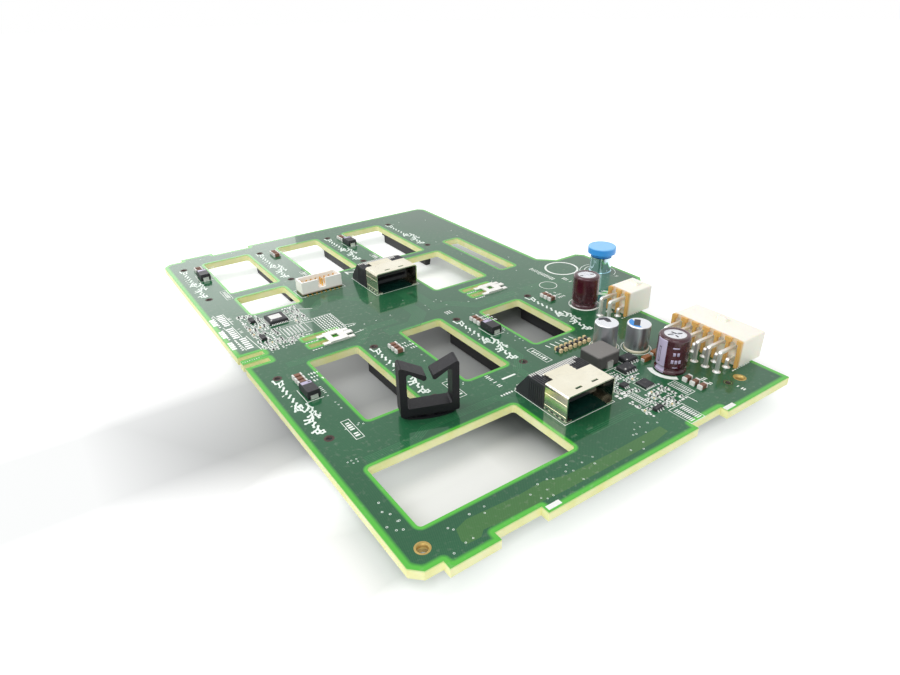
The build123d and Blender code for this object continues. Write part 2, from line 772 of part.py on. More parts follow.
with BuildPart() as inductor_terminals:
    for direction in (-1, 1):
        wall = INDUCTOR_AT[1] + direction * side / 2
        outer = wall + direction * INDUCTOR_TAB_T
        inner = wall - direction * INDUCTOR_FOOT
        upright = (min(wall, outer), max(wall, outer))
        under = (min(inner, outer), max(inner, outer))
        block(span(INDUCTOR_AT[0], INDUCTOR_TAB_W), upright, (TOP, TOP + INDUCTOR_TAB_H))
        block(span(INDUCTOR_AT[0], INDUCTOR_TAB_W), under, (TOP, TOP + INDUCTOR_TAB_T))
write(inductor_terminals, "inductor_terminals")

for i, (x, y) in enumerate(MOULDED_CAPS):
    with BuildPart() as moulded:
        for height in (MOULDED_H - MOULDED_WAIST, -(MOULDED_WAIST - MOULDED_TAB_T)):
            with BuildSketch(Plane.XY.offset(TOP + MOULDED_WAIST)):
                with Locations((x, y)):
                    Rectangle(MOULDED_W, MOULDED_L)
            extrude(amount=height, taper=MOULDED_TAPER)
    with BuildPart() as ends:
        for direction in (-1, 1):
            wall = y + direction * MOULDED_L / 2
            outer = wall + direction * MOULDED_TAB_T
            inner = wall - direction * MOULDED_TAB_W / 2
            upright = (min(wall, outer), max(wall, outer))
            under = (min(inner, outer), max(inner, outer))
            block(span(x, MOULDED_TAB_W), upright, (TOP, TOP + MOULDED_WAIST + MOULDED_TAB_T))
            block(span(x, MOULDED_TAB_W), under, (TOP, TOP + MOULDED_TAB_T))
    write(moulded, f"moulded_cap_{i + 1}")
    write(ends, f"moulded_cap_{i + 1}_ends")

# Small ceramic capacitors
row_x, row_y = CHIP_CAP_ROW
row_xs = columns_of(row_x, CHIP_CAP_ROW_COUNT, CHIP_CAP_STEP)
stacked_places = [(x, y + CHIP_CAP_STEP * step) for x, y in CHIP_CAP_TRIPLES for step in (-1, 0, 1)]
stack_x, stack_y = CHIP_CAP_STACK
stacked_places += [(stack_x, y) for y in columns_of(stack_y, 3, CHIP_CAP_WIDE_STEP)]
with BuildPart() as ceramic_caps:
    for x in row_xs:
        block(span(x, CHIP_CAP[0]), span(row_y, CHIP_CAP[1]), (TOP, TOP + CHIP_CAP[2]))
    for x, y in stacked_places:
        block(span(x, CHIP_CAP[1]), span(y, CHIP_CAP[0]), (TOP, TOP + CHIP_CAP[2]))
write(ceramic_caps, "ceramic_caps")

for node, x, y, length, width, height in CHIPS:
    with BuildPart() as chip:
        with BuildSketch(Plane.XY.offset(TOP)):
            with Locations((x, y)):
                Rectangle(length, width)
        extrude(amount=height)
        chamfer(chip.faces().sort_by(Axis.Z)[-1].edges(), CHIP_BEVEL)
    write(chip, node)

# Release pin
PIN_AXIS = Axis((RELEASE_X, RELEASE_Y, 0), (0, 0, 1))
PIN_SECTION = Plane(origin=(RELEASE_X, RELEASE_Y, 0), x_dir=(1, 0, 0), z_dir=(0, -1, 0))
barrel_top = TOP + BARREL_H
collar_base = SPIGOT_FLOOR + COLLAR_LIFT
collar_top = collar_base + COLLAR_H
barrel_roof = barrel_top - BARREL_ROOF
guide_r = SHAFT_R + SHAFT_FIT
cap_base = barrel_top + CAP_GAP
shaft_top = cap_base + CAP_BORE_DEPTH

with BuildPart() as release_barrel:
    with BuildSketch(PIN_SECTION):
        with BuildLine():
            Polyline(
                (guide_r, 0),
                (SPIGOT_R, 0),
                (SPIGOT_R, TOP),
                (BARREL_FOOT_R, TOP),
                (BARREL_FOOT_R, TOP + BARREL_FOOT_H),
                (BARREL_R, TOP + BARREL_FOOT_H),
                (BARREL_R, barrel_top),
                (guide_r, barrel_top),
                (guide_r, barrel_roof),
                (BARREL_BORE_R, barrel_roof),
                (BARREL_BORE_R, SPIGOT_FLOOR),
                (guide_r, SPIGOT_FLOOR),
                close=True,
            )
        make_face()
    revolve(axis=PIN_AXIS)
write(release_barrel, "release_barrel")

with BuildPart() as release_shaft:
    with BuildSketch(PIN_SECTION):
        with BuildLine():
            Polyline(
                (0, -NOSE_BELOW),
                (SHAFT_R - NOSE_CHAMFER, -NOSE_BELOW),
                (SHAFT_R, -NOSE_BELOW + NOSE_CHAMFER),
                (SHAFT_R, collar_base),
                (COLLAR_R, collar_base),
                (COLLAR_R, collar_top),
                (SHAFT_R, collar_top),
                (SHAFT_R, shaft_top),
                (0, shaft_top),
                close=True,
            )
        make_face()
    revolve(axis=PIN_AXIS)
write(release_shaft, "release_shaft")

with BuildPart() as release_cap:
    cone_base = cap_base + CAP_NECK_H
    rim_base = cone_base + CAP_CONE_H
    cap_top = cap_base + CAP_H
    with BuildSketch(PIN_SECTION):
        with BuildLine():
            Polyline(
                (SHAFT_R, cap_base),
                (CAP_NECK_R, cap_base),
                (CAP_NECK_R, cone_base),
                (CAP_R, rim_base),
                (CAP_R, cap_top - CAP_EDGE),
            )
            RadiusArc((CAP_R, cap_top - CAP_EDGE), (CAP_R - CAP_EDGE, cap_top), -CAP_EDGE)
            Polyline(
                (CAP_R - CAP_EDGE, cap_top),
                (0, cap_top),
                (0, shaft_top),
                (SHAFT_R, shaft_top),
                (SHAFT_R, cap_base),
            )
        make_face()
    revolve(axis=PIN_AXIS)
write(release_cap, "release_cap")

with BuildPart() as release_spring:
    coil_base = collar_top + SPRING_WIRE_R + SPRING_GAP
    coil_height = barrel_roof - collar_top - 2 * (SPRING_WIRE_R + SPRING_GAP)
    with BuildLine():
        coil = Helix(
            pitch=coil_height / SPRING_TURNS,
            height=coil_height,
            radius=SPRING_R,
            center=(RELEASE_X, RELEASE_Y, coil_base),
        )
    with BuildSketch(Plane(origin=coil @ 0, z_dir=coil % 0)):
        RegularPolygon(SPRING_WIRE_R, 6)
    sweep(path=coil, is_frenet=True)
write(release_spring, "release_spring")

# Cable clip
turn = radians(CLIP_TURN)
CLIP_FACE = Plane(
    origin=(CLIP_X + sin(turn) * CLIP_DEPTH / 2, CLIP_Y - cos(turn) * CLIP_DEPTH / 2, TOP),
    x_dir=(cos(turn), sin(turn), 0),
    z_dir=(sin(turn), -cos(turn), 0),
)
with BuildPart() as cable_clip:
    half = CLIP_W / 2
    inner = half - CLIP_WALL
    mouth = CLIP_GAP / 2
    tip = CLIP_H - CLIP_LIP_DROP
    base_top = CLIP_LIFT + CLIP_BASE_T
    with BuildSketch(CLIP_FACE) as ring:
        with BuildLine():
            Polyline(
                (-half, CLIP_LIFT),
                (half, CLIP_LIFT),
                (half, CLIP_H),
                (mouth, tip),
                (mouth, tip - CLIP_LIP_T),
                (inner, CLIP_H - CLIP_LIP_T),
                (inner, base_top),
                (-inner, base_top),
                (-inner, CLIP_H - CLIP_LIP_T),
                (-mouth, tip - CLIP_LIP_T),
                (-mouth, tip),
                (-half, CLIP_H),
                close=True,
            )
        make_face()
        fillet(ring.vertices(), CLIP_FILLET)
    extrude(amount=-CLIP_DEPTH)
    with BuildSketch(Plane(origin=(CLIP_X, CLIP_Y, TOP), x_dir=CLIP_FACE.x_dir, z_dir=(0, 0, 1))):
        Ellipse(CLIP_PAD_L / 2, CLIP_PAD_W / 2)
    extrude(amount=CLIP_PAD_T)
    with BuildSketch(Plane.XY.offset(TOP + CLIP_PAD_T)):
        with Locations((CLIP_X, CLIP_Y)):
            Circle(CLIP_NECK_R)
    extrude(amount=CLIP_LIFT - CLIP_PAD_T)
    with BuildSketch(Plane(origin=(CLIP_X, CLIP_Y, 0), x_dir=(1, 0, 0), z_dir=(0, -1, 0))):
        with BuildLine():
            Polyline(
                (0, -BARB_H - FOOT_FIT),
                (FOOT_R / 2, -BARB_H - FOOT_FIT),
                (BARB_R, -FOOT_FIT),
                (FOOT_R, -FOOT_FIT),
                (FOOT_R, TOP + CLIP_LIFT),
                (0, TOP + CLIP_LIFT),
                close=True,
            )
        make_face()
    revolve(axis=Axis((CLIP_X, CLIP_Y, 0), (0, 0, 1)))
    block(
        span(CLIP_X, BARB_SPLIT),
        span(CLIP_Y, 2 * BARB_R),
        (-BARB_H - FOOT_FIT, TOP),
        mode=Mode.SUBTRACT,
    )
write(cable_clip, "cable_clip")


def hook_clip(pair_x):
    """Stamped clip: a plate with a window on two rails, flat soldered feet and a leaf at its end."""
    start = pair_x + HOOK_START
    end = start + HOOK_L
    near_rail = span(SLOT_YS[0] - SLOT_W / 2 - HOOK_RAIL_W / 2, HOOK_RAIL_W)
    far_rail = span((SLOT_YS[0] + SLOT_YS[1]) / 2 + HOOK_RAIL_W / 2, HOOK_RAIL_W)
    with BuildPart() as clip:
        for rail in (near_rail, far_rail):
            with BuildSketch(Plane.XZ.offset(-rail[0])):
                area((start, end), (TOP, TOP + HOOK_H))
                area((start - HOOK_FOOT_L, end + HOOK_FOOT_L), (TOP, TOP + HOOK_T))
            extrude(amount=-HOOK_RAIL_W)
        plate_y = (near_rail[0], far_rail[1])
        plate_z = (TOP + HOOK_H - HOOK_T, TOP + HOOK_H)
        block((start, end), plate_y, plate_z)
        window = (start + HOOK_WINDOW_START, start + HOOK_WINDOW_START + HOOK_WINDOW_L)
        block(window, span(sum(plate_y) / 2, HOOK_WINDOW_W), (TOP, TOP + HOOK_H), mode=Mode.SUBTRACT)
        block((end, end + HOOK_LEAF_L), span(sum(plate_y) / 2, HOOK_FOOT_W), plate_z)
    return clip


for i, pair_x in enumerate(PAIR_XS):
    write(hook_clip(pair_x), f"slot_clip_{i + 1}")
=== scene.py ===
# %% [markdown]
# This lesson dresses a drive backplane board: a flat circuit board with cooling windows, two
# shielded cable ports, power headers, capacitors and a spring loaded release pin on a tab.
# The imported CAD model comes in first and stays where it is. Every piece made here is laid over
# it in the same frame, in metres, and rides on one of its bodies.

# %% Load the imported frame
import json
import math
import random

import bmesh
import bpy
import numpy as np
from mathutils import Matrix, Vector
from mathutils.geometry import delaunay_2d_cdt


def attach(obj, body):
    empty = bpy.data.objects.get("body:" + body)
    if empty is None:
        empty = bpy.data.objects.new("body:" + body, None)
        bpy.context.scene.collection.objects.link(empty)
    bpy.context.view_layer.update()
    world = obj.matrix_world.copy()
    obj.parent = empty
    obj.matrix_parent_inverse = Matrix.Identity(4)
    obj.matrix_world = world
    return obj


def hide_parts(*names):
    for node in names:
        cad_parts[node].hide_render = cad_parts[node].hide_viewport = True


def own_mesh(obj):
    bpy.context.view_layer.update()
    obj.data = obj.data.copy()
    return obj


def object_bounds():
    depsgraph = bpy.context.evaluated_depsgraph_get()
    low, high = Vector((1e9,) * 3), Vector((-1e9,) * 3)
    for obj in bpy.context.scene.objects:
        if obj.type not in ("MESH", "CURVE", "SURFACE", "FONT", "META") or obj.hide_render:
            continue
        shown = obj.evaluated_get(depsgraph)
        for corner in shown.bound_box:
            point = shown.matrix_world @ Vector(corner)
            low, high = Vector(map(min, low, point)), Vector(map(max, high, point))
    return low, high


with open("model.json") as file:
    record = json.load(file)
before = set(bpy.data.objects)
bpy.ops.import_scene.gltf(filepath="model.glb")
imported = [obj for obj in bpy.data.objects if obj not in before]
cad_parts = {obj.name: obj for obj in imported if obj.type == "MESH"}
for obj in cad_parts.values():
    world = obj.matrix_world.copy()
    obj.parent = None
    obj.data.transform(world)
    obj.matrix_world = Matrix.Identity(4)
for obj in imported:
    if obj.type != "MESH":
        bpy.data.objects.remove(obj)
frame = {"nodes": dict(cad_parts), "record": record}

MM = 0.001
CAD_BOX = [[float(v) for v in corner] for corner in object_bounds()]
BOARD_TOP = 2.8
BODY = "backplane"
print("CAD box in mm:", [[round(v / MM, 1) for v in corner] for corner in CAD_BOX])

# %% [markdown]
# The camera stands where the photographer stood. Its place, turn and lens were worked out from
# the peg holes and straight edges of the board, so the render and the photograph line up.

# %% Place the camera
def linked(name, data):
    """A new object in the scene."""
    made = bpy.data.objects.new(name, data)
    bpy.context.scene.collection.objects.link(made)
    return made


camera_data = bpy.data.cameras.new("board_camera")
camera_data.sensor_width = 36.0
camera_data.lens = 25.383
camera_data.clip_start = 0.01
camera_data.clip_end = 50.0
camera = linked("board_camera", camera_data)
camera.location = Vector((-51.366, -87.188, 110.494)) * MM
camera.rotation_euler = [math.radians(a) for a in (61.4656, 0.8467, -34.8426)]
bpy.context.scene.camera = camera
bpy.context.scene.view_settings.view_transform = "Standard"
print("camera lens", camera_data.lens, "mm")

# %% [markdown]
# Node trees are long when each node takes five lines. These helpers make a node, set its values
# and wire sockets that are passed to it, so one line of code is one node.

# %% Helpers for nodes
def node(tree, kind, inputs=None, **settings):
    """A node with its settings and inputs; an input that is a socket is linked."""
    made = tree.nodes.new(kind)
    for key, value in settings.items():
        setattr(made, key, value)
    for key, value in (inputs or {}).items():
        if isinstance(value, bpy.types.NodeSocket):
            tree.links.new(value, made.inputs[key])
        else:
            made.inputs[key].default_value = value
    return made


def maths(tree, operation, *terms):
    """Output of a Math node."""
    return node(tree, "ShaderNodeMath", dict(enumerate(terms)), operation=operation).outputs[0]


def chain(tree, operation, first, *others):
    """The same Math operation over several terms, one after the other."""
    for other in others:
        first = maths(tree, operation, first, other)
    return first


def blend_colour(tree, share, first, second):
    """Colour output of a Mix node: first where share is 0, second where it is 1."""
    inputs = {0: share, 6: first, 7: second}
    return node(tree, "ShaderNodeMix", inputs, data_type="RGBA").outputs[2]


def stretch(tree, value, low, high, out_low=0.0, out_high=1.0):
    """A value moved from one range to another and clamped there."""
    keys = {"Value": value, "From Min": low, "From Max": high, "To Min": out_low, "To Max": out_high}
    return node(tree, "ShaderNodeMapRange", keys).outputs["Result"]


def place_of(tree):
    """The point on the object, in its own coordinates."""
    return node(tree, "ShaderNodeTexCoord").outputs["Object"]


def split(tree, vector):
    """The X, Y and Z outputs of a vector."""
    return node(tree, "ShaderNodeSeparateXYZ", {"Vector": vector}).outputs


def noise(tree, scale, detail=2.0):
    """Noise over the object's own coordinates."""
    inputs = {"Vector": place_of(tree), "Scale": scale, "Detail": detail}
    return node(tree, "ShaderNodeTexNoise", inputs).outputs["Fac"]


def srgb(red, green, blue):
    """Scene colour of an 8-bit screen colour."""
    parts = [v / 255 for v in (red, green, blue)]
    return tuple(v / 12.92 if v <= 0.04045 else ((v + 0.055) / 1.055) ** 2.4 for v in parts) + (1.0,)


print("mid grey is", [round(v, 3) for v in srgb(128, 128, 128)])

# %% [markdown]
# The photograph has a white room: no horizon shows, and the bright metal mirrors white. The
# world is white to camera, mirror and glass rays, and gives less light than that to the rest,
# so the surfaces keep their own colours. Large soft lamps add a direction.

# %% Light the room
ROOM_LIGHT = 0.66
world = bpy.data.worlds.new("white_room")
bpy.context.scene.world = world
world.use_nodes = True
tree = world.node_tree
tree.nodes.clear()
rays = node(tree, "ShaderNodeLightPath").outputs
seen = chain(tree, "MAXIMUM", rays["Is Camera Ray"], rays["Is Glossy Ray"], rays["Is Transmission Ray"])
level = stretch(tree, seen, 0.0, 1.0, ROOM_LIGHT, 1.0)
sky = node(tree, "ShaderNodeBackground", {"Color": (1.0, 1.0, 1.0, 1.0), "Strength": level})
node(tree, "ShaderNodeOutputWorld", {"Surface": sky.outputs[0]})


def soft_lamp(name, place, target, size, power):
    """A square area lamp that faces a point; lengths in metres."""
    data = bpy.data.lights.new(name, "AREA")
    data.shape = "SQUARE"
    data.size = size
    data.energy = power
    lamp = linked(name, data)
    lamp.location = place
    lamp.rotation_euler = (Vector(target) - Vector(place)).to_track_quat("-Z", "Y").to_euler()
    return lamp


MIDDLE = (0.065, 0.09, 0.0)
soft_lamp("key_lamp", (-0.30, 0.30, 0.60), MIDDLE, 0.45, 2.3)
soft_lamp("fill_lamp", (-0.30, -0.40, 0.45), MIDDLE, 0.50, 1.4)
back_lamp = soft_lamp("back_lamp", (0.14, 0.86, 0.24), (0.01, 0.20, 0.0), 0.30, 0.4)
back_lamp.visible_camera = False

# %% [markdown]
# The floor is a plain pale sheet, with a painted shadow under the middle of the board, where
# its tone is deeper. To the camera it gets a little light of its own, so that it reads white as in
# the photograph and still carries the soft shadow under the board. That light is painted light,
# stronger away from the board and in a pool by the near-left window. All its places are in metres.

# %% Lay the floor
FLOOR_Z = CAD_BOX[0][2]
FLOOR_RADIUS = 3.0
PAINTED_SHADOW_TONE = (0.17, 0.18, 0.18, 1.0)


def blank_material(name):
    """A material with an empty tree, and that tree."""
    material = bpy.data.materials.new(name)
    material.use_nodes = True
    material.node_tree.nodes.clear()
    return material, material.node_tree


def mesh_of(name, shape, coat=None, smooth=False):
    """A mesh from a bmesh, which is freed, in one finish."""
    mesh = bpy.data.meshes.new(name)
    shape.to_mesh(mesh)
    shape.free()
    if coat:
        mesh.materials.append(coat)
    if smooth:
        mesh.shade_smooth()
    return mesh


paper, tree = blank_material("floor_paper")
rays = node(tree, "ShaderNodeLightPath").outputs
seen = chain(tree, "MAXIMUM", rays["Is Camera Ray"], rays["Is Glossy Ray"])
shade = blend_colour(tree, noise(tree, 3.0), (0.84, 0.84, 0.83, 1.0), (0.88, 0.88, 0.88, 1.0))
along_x, along_y, _ = split(tree, place_of(tree))
# painted shadow: the floor's tone deepens under the middle of the board, away from its open sides
painted_shadow_share = maths(tree, "MAXIMUM", stretch(tree, along_x, 0.038, 0.054), stretch(tree, along_y, 0.045, 0.070))
for axis_value, start, end in ((along_y, 0.006, 0.030), (along_y, 0.130, 0.105), (along_x, 0.150, 0.125)):
    painted_shadow_share = maths(tree, "MULTIPLY", painted_shadow_share, stretch(tree, axis_value, start, end))
shade = blend_colour(tree, maths(tree, "MULTIPLY", painted_shadow_share, 0.8), shade, PAINTED_SHADOW_TONE)
matt = node(tree, "ShaderNodeBsdfDiffuse", {"Color": shade})
gaps = []
for axis_value, middle, half in ((along_x, 0.063, 0.070), (along_y, 0.102, 0.112)):
    offset = maths(tree, "ABSOLUTE", maths(tree, "SUBTRACT", axis_value, middle))
    gaps.append(maths(tree, "MAXIMUM", maths(tree, "SUBTRACT", offset, half), 0.0))
squares = maths(tree, "MULTIPLY_ADD", gaps[0], gaps[0], maths(tree, "MULTIPLY", gaps[1], gaps[1]))
apart = maths(tree, "SQRT", squares)
# painted light: the floor's own light to the camera grows away from the board, towards the far left and in
# front of the near edge, where it fills the board's shadow
far_left = maths(tree, "MULTIPLY_ADD", along_x, -0.5, along_y)
lifts = [stretch(tree, apart, 0.0, 0.05, 0.0, 0.60), stretch(tree, far_left, 0.05, 0.15, 0.0, 0.60)]
lifts.append(stretch(tree, along_y, 0.004, -0.004, 0.0, 0.48))
# painted light: a pool of light on the floor seen through the near-left window
near_left_painted_light = stretch(tree, along_x, 0.052, 0.010, 0.0, 0.36)
for start, end in ((0.022, 0.036), (0.060, 0.050)):
    near_left_painted_light = maths(tree, "MULTIPLY", near_left_painted_light, stretch(tree, along_y, start, end))
lift = chain(tree, "MAXIMUM", *lifts, near_left_painted_light)
own_light = node(tree, "ShaderNodeEmission", {"Strength": maths(tree, "MULTIPLY", seen, lift)})
both = node(tree, "ShaderNodeAddShader", {0: matt.outputs[0], 1: own_light.outputs[0]})
node(tree, "ShaderNodeOutputMaterial", {"Surface": both.outputs[0]})
shape = bmesh.new()
bmesh.ops.create_circle(shape, cap_ends=True, segments=64, radius=FLOOR_RADIUS)
bmesh.ops.translate(shape, verts=shape.verts, vec=(MIDDLE[0], MIDDLE[1], FLOOR_Z))
floor = linked("floor", mesh_of("floor", shape, paper))
print("floor at", round(FLOOR_Z / MM, 2), "mm")

# %% [markdown]
# Real surfaces are never one flat colour. Five effects turn up in the finishes here, so each
# is a node group with its own values: slow colour drift, the fine grain of moulded plastic,
# settled dust, the streaks of rolled metal, and the glass weave that shows through the board.

# %% Effects as node groups
def effect(name, numbers, output, kind="NodeSocketFloat"):
    """An empty shader group with these inputs and one output, and its two end nodes."""
    group = bpy.data.node_groups.new(name, "ShaderNodeTree")
    for label, value in numbers:
        socket_kind = "NodeSocketColor" if isinstance(value, tuple) else "NodeSocketFloat"
        socket = group.interface.new_socket(label, in_out="INPUT", socket_type=socket_kind)
        socket.default_value = value
    group.interface.new_socket(output, in_out="OUTPUT", socket_type=kind)
    return group, group.nodes.new("NodeGroupInput").outputs, group.nodes.new("NodeGroupOutput")


WHITE = (1.0, 1.0, 1.0, 1.0)
inputs = [("First", WHITE), ("Second", WHITE), ("Scale", 40.0)]
drift, given, result = effect("colour_drift", inputs, "Color", "NodeSocketColor")
drift.interface.new_socket("Mask", in_out="OUTPUT", socket_type="NodeSocketFloat")
mask = stretch(drift, noise(drift, given["Scale"], 5.0), 0.3, 0.7)
mixed = blend_colour(drift, mask, given["First"], given["Second"])
drift.links.new(mixed, result.inputs["Color"])
drift.links.new(mask, result.inputs["Mask"])

grain, given, result = effect("moulded_grain", [("Scale", 2500.0)], "Height")
pits = node(grain, "ShaderNodeTexVoronoi", {"Vector": place_of(grain), "Scale": given["Scale"]})
height = maths(grain, "ADD", pits.outputs["Distance"], noise(grain, given["Scale"], 3.0))
grain.links.new(height, result.inputs["Height"])

dust, given, result = effect("settled_dust", [("Scale", 900.0), ("Amount", 0.3)], "Mask")
specks = stretch(dust, noise(dust, given["Scale"], 6.0), 0.56, 0.72)
patches = stretch(dust, noise(dust, 35.0), 0.35, 0.75)
facing = split(dust, node(dust, "ShaderNodeTexCoord").outputs["Normal"])["Z"]
amount = chain(dust, "MULTIPLY", specks, patches, stretch(dust, facing, 0.2, 0.9), given["Amount"])
dust.links.new(amount, result.inputs["Mask"])

inputs = [("Along X", 1.0), ("Along Y", 1.0), ("Along Z", 1.0), ("Scale", 900.0)]
streak, given, result = effect("rolled_streaks", inputs, "Mask")
ways = node(streak, "ShaderNodeCombineXYZ", {i: given[i] for i in range(3)}).outputs[0]
terms = {0: place_of(streak), 1: ways}
pulled = node(streak, "ShaderNodeVectorMath", terms, operation="MULTIPLY").outputs[0]
lines = node(streak, "ShaderNodeTexNoise", {"Vector": pulled, "Scale": given["Scale"], "Detail": 4.0})
streak.links.new(stretch(streak, lines.outputs["Fac"], 0.3, 0.7), result.inputs["Mask"])

weave, given, result = effect("glass_weave", [("Pitch", 0.00055)], "Height")
turns = maths(weave, "DIVIDE", 2 * math.pi, given["Pitch"])
unevenness = maths(weave, "MULTIPLY", noise(weave, 300.0), 5.0)
axes = split(weave, place_of(weave))
waves = [maths(weave, "SINE", maths(weave, "MULTIPLY_ADD", axes[a], turns, unevenness)) for a in "XY"]
crossed = maths(weave, "MULTIPLY", *waves)
weave.links.new(maths(weave, "MULTIPLY_ADD", crossed, 0.5, 0.5), result.inputs["Height"])
print("effects:", [g.name for g in bpy.data.node_groups])

# %% [markdown]
# A finish is one Principled shader fed by those effects. The recipe is the same for plastic
# and metal: two close tones that drift, a roughness that wanders between two values, grain or
# streaks as a small bump, and some dust on the faces that look up. A finish may also turn to
# another tone between two places along one axis: painted light on a top that is lit, painted
# shade at an end or foot that lies in shadow.

# %% The finish recipe
DUST_TONE = srgb(196, 192, 182)


def place_effect(tree, group, **values):
    """An effect group placed in a material with its own values."""
    made = tree.nodes.new("ShaderNodeGroup")
    made.node_tree = group
    for label, value in values.items():
        made.inputs[label.replace("_", " ")].default_value = value
    return made.outputs


def principled(tree, values):
    """A Principled shader with these inputs, wired to the material's output."""
    surface = node(tree, "ShaderNodeBsdfPrincipled", values)
    node(tree, "ShaderNodeOutputMaterial", {"Surface": surface.outputs[0]})


def bumped(tree, strength, distance, height):
    """A normal that follows a height."""
    inputs = {"Strength": strength, "Distance": distance, "Height": height}
    return node(tree, "ShaderNodeBump", inputs).outputs[0]


def finish(name, first, second, rough, metal=0.0, patch=60.0, scale=2500.0, bump=0.15,
           streaks=None, dusty=0.3, turn_to=None, **shader):
    """A material of two drifting tones; streaks are factors along X, Y and Z for rolled metal,
    and the turn is (axis, start, end, tone) with the places in mm, which paints light onto a
    lit top and shade onto a shaded end."""
    material, tree = blank_material(name)
    tones = place_effect(tree, drift, First=srgb(*first), Second=srgb(*second), Scale=patch)
    base_tone = tones["Color"]
    if turn_to:
        # painted light and shade: the base tone turns to a lighter or darker tone along one axis
        axis, start, end, tone = turn_to
        painted_light_share = stretch(tree, split(tree, place_of(tree))[axis], start * MM, end * MM)
        base_tone = blend_colour(tree, painted_light_share, base_tone, srgb(*tone))
    if streaks:
        factors = dict(zip(("Along_X", "Along_Y", "Along_Z"), streaks))
        relief = place_effect(tree, streak, Scale=scale, **factors)[0]
    else:
        relief = place_effect(tree, grain, Scale=scale)[0]
    wander = maths(tree, "MULTIPLY_ADD", relief, 0.4, maths(tree, "MULTIPLY", tones["Mask"], 0.6))
    settled = place_effect(tree, dust, Scale=900.0, Amount=dusty)[0]
    values = {
        "Base Color": blend_colour(tree, settled, base_tone, DUST_TONE),
        "Metallic": metal,
        "Roughness": stretch(tree, wander, 0.1, 0.9, *rough),
        "Normal": bumped(tree, bump, 0.00004, relief),
    }
    values.update({key.replace("_", " "): value for key, value in shader.items()})
    principled(tree, values)
    return material


# %% [markdown]
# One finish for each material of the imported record. The tones are read from the photograph:
# warm plated sheet on the ports, cream nylon, maroon sleeves, a bright blue cap. A row holds
# the name, two tones, the range of roughness and what else differs from the recipe.

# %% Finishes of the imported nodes
FINISH_ROWS = [
    ("receptacle_black", (30, 30, 33), (42, 42, 45), (0.42, 0.6), dict(dusty=0.25)),
    ("contact_gold", (226, 180, 92), (240, 200, 120), (0.2, 0.38), dict(metal=1.0, streaks=(8.0, 8.0, 1.0))),
    ("port_sheet", (240, 234, 212), (250, 246, 228), (0.12, 0.26),
     dict(metal=1.0, streaks=(1.0, 9.0, 9.0), bump=0.08, patch=90.0, dusty=0.35)),
    ("insulator_black", (34, 34, 38), (48, 48, 54), (0.35, 0.55), {}),
    ("tinned_lead", (232, 232, 228), (246, 245, 240), (0.32, 0.5), dict(metal=0.75, streaks=(6.0, 6.0, 1.0))),
    # painted shade: the nylon turns tan towards the back of the header, where the pins lie in shadow
    ("nylon_white", (248, 244, 230), (252, 250, 240), (0.35, 0.5),
     dict(scale=1800.0, dusty=0.05, turn_to=("X", 124.0, 122.9, (222, 176, 98)),
          Subsurface_Weight=0.2, Subsurface_Scale=0.001)),
    # painted shade: the header turns dark brown towards its foot on the board
    ("header_white", (250, 249, 244), (254, 253, 250), (0.35, 0.5),
     dict(dusty=0.0, turn_to=("Z", 3.9, 3.3, (120, 108, 84)))),
    ("pin_gold", (232, 178, 76), (246, 204, 112), (0.18, 0.34), dict(metal=1.0, streaks=(8.0, 8.0, 1.0))),
    # painted light: the can's top is lighter, as if lit from above
    ("can_aluminium", (176, 178, 186), (200, 202, 208), (0.22, 0.36),
     dict(metal=0.9, streaks=(10.0, 10.0, 0.6), bump=0.12, turn_to=("Z", 11.8, 12.3, (236, 238, 242)))),
    ("sleeve_maroon", (52, 10, 24), (76, 18, 36), (0.16, 0.3),
     dict(patch=180.0, bump=0.06, dusty=0.08, Specular_IOR_Level=0.25, Coat_Weight=0.8, Coat_Roughness=0.06)),
    ("seat_cream", (222, 214, 184), (238, 232, 208), (0.4, 0.6), {}),
    # painted light: the core's top is lighter, as if lit from above
    ("core_grey", (66, 65, 64), (86, 84, 82), (0.5, 0.7),
     dict(scale=1500.0, bump=0.4, dusty=0.1, turn_to=("Z", 7.5, 7.75, (124, 121, 118)))),
    ("moulded_black", (26, 26, 30), (38, 38, 44), (0.3, 0.45), dict(dusty=0.12)),
    ("ceramic_brown", (112, 76, 60), (136, 96, 76), (0.4, 0.6), dict(patch=300.0, dusty=0.1)),
    ("chip_black", (34, 34, 38), (46, 46, 50), (0.4, 0.55), {}),
    ("barrel_bright", (196, 226, 238), (222, 242, 248), (0.04, 0.12),
     dict(metal=1.0, streaks=(1.0, 1.0, 12.0), bump=0.04, dusty=0.05)),
    # painted light: the cap's top is lighter, as if lit from above
    ("cap_blue", (58, 158, 242), (74, 170, 248), (0.3, 0.42),
     dict(bump=0.08, dusty=0.05, turn_to=("Z", 14.0, 14.5, (136, 202, 248)),
          Coat_Weight=0.2, Coat_Roughness=0.2)),
    ("spring_steel", (170, 172, 176), (196, 198, 202), (0.22, 0.36), dict(metal=1.0)),
    ("clip_black", (14, 14, 19), (24, 23, 29), (0.32, 0.46),
     dict(scale=1600.0, dusty=0.05, Specular_IOR_Level=0.3)),
    ("clip_tinned", (240, 238, 232), (250, 249, 246), (0.3, 0.5), dict(metal=0.6, patch=400.0, bump=0.3)),
]
FINISHES = {row[0]: finish(*row[:4], **row[4]) for row in FINISH_ROWS}
print(len(FINISHES), "finishes")

# %% [markdown]
# The laminate is glass and resin. Its cut walls are cream and show the layers it was pressed
# from, going lime where the mask starts. The wall's own height picks the layer, and the face
# normal tells walls from flat faces.

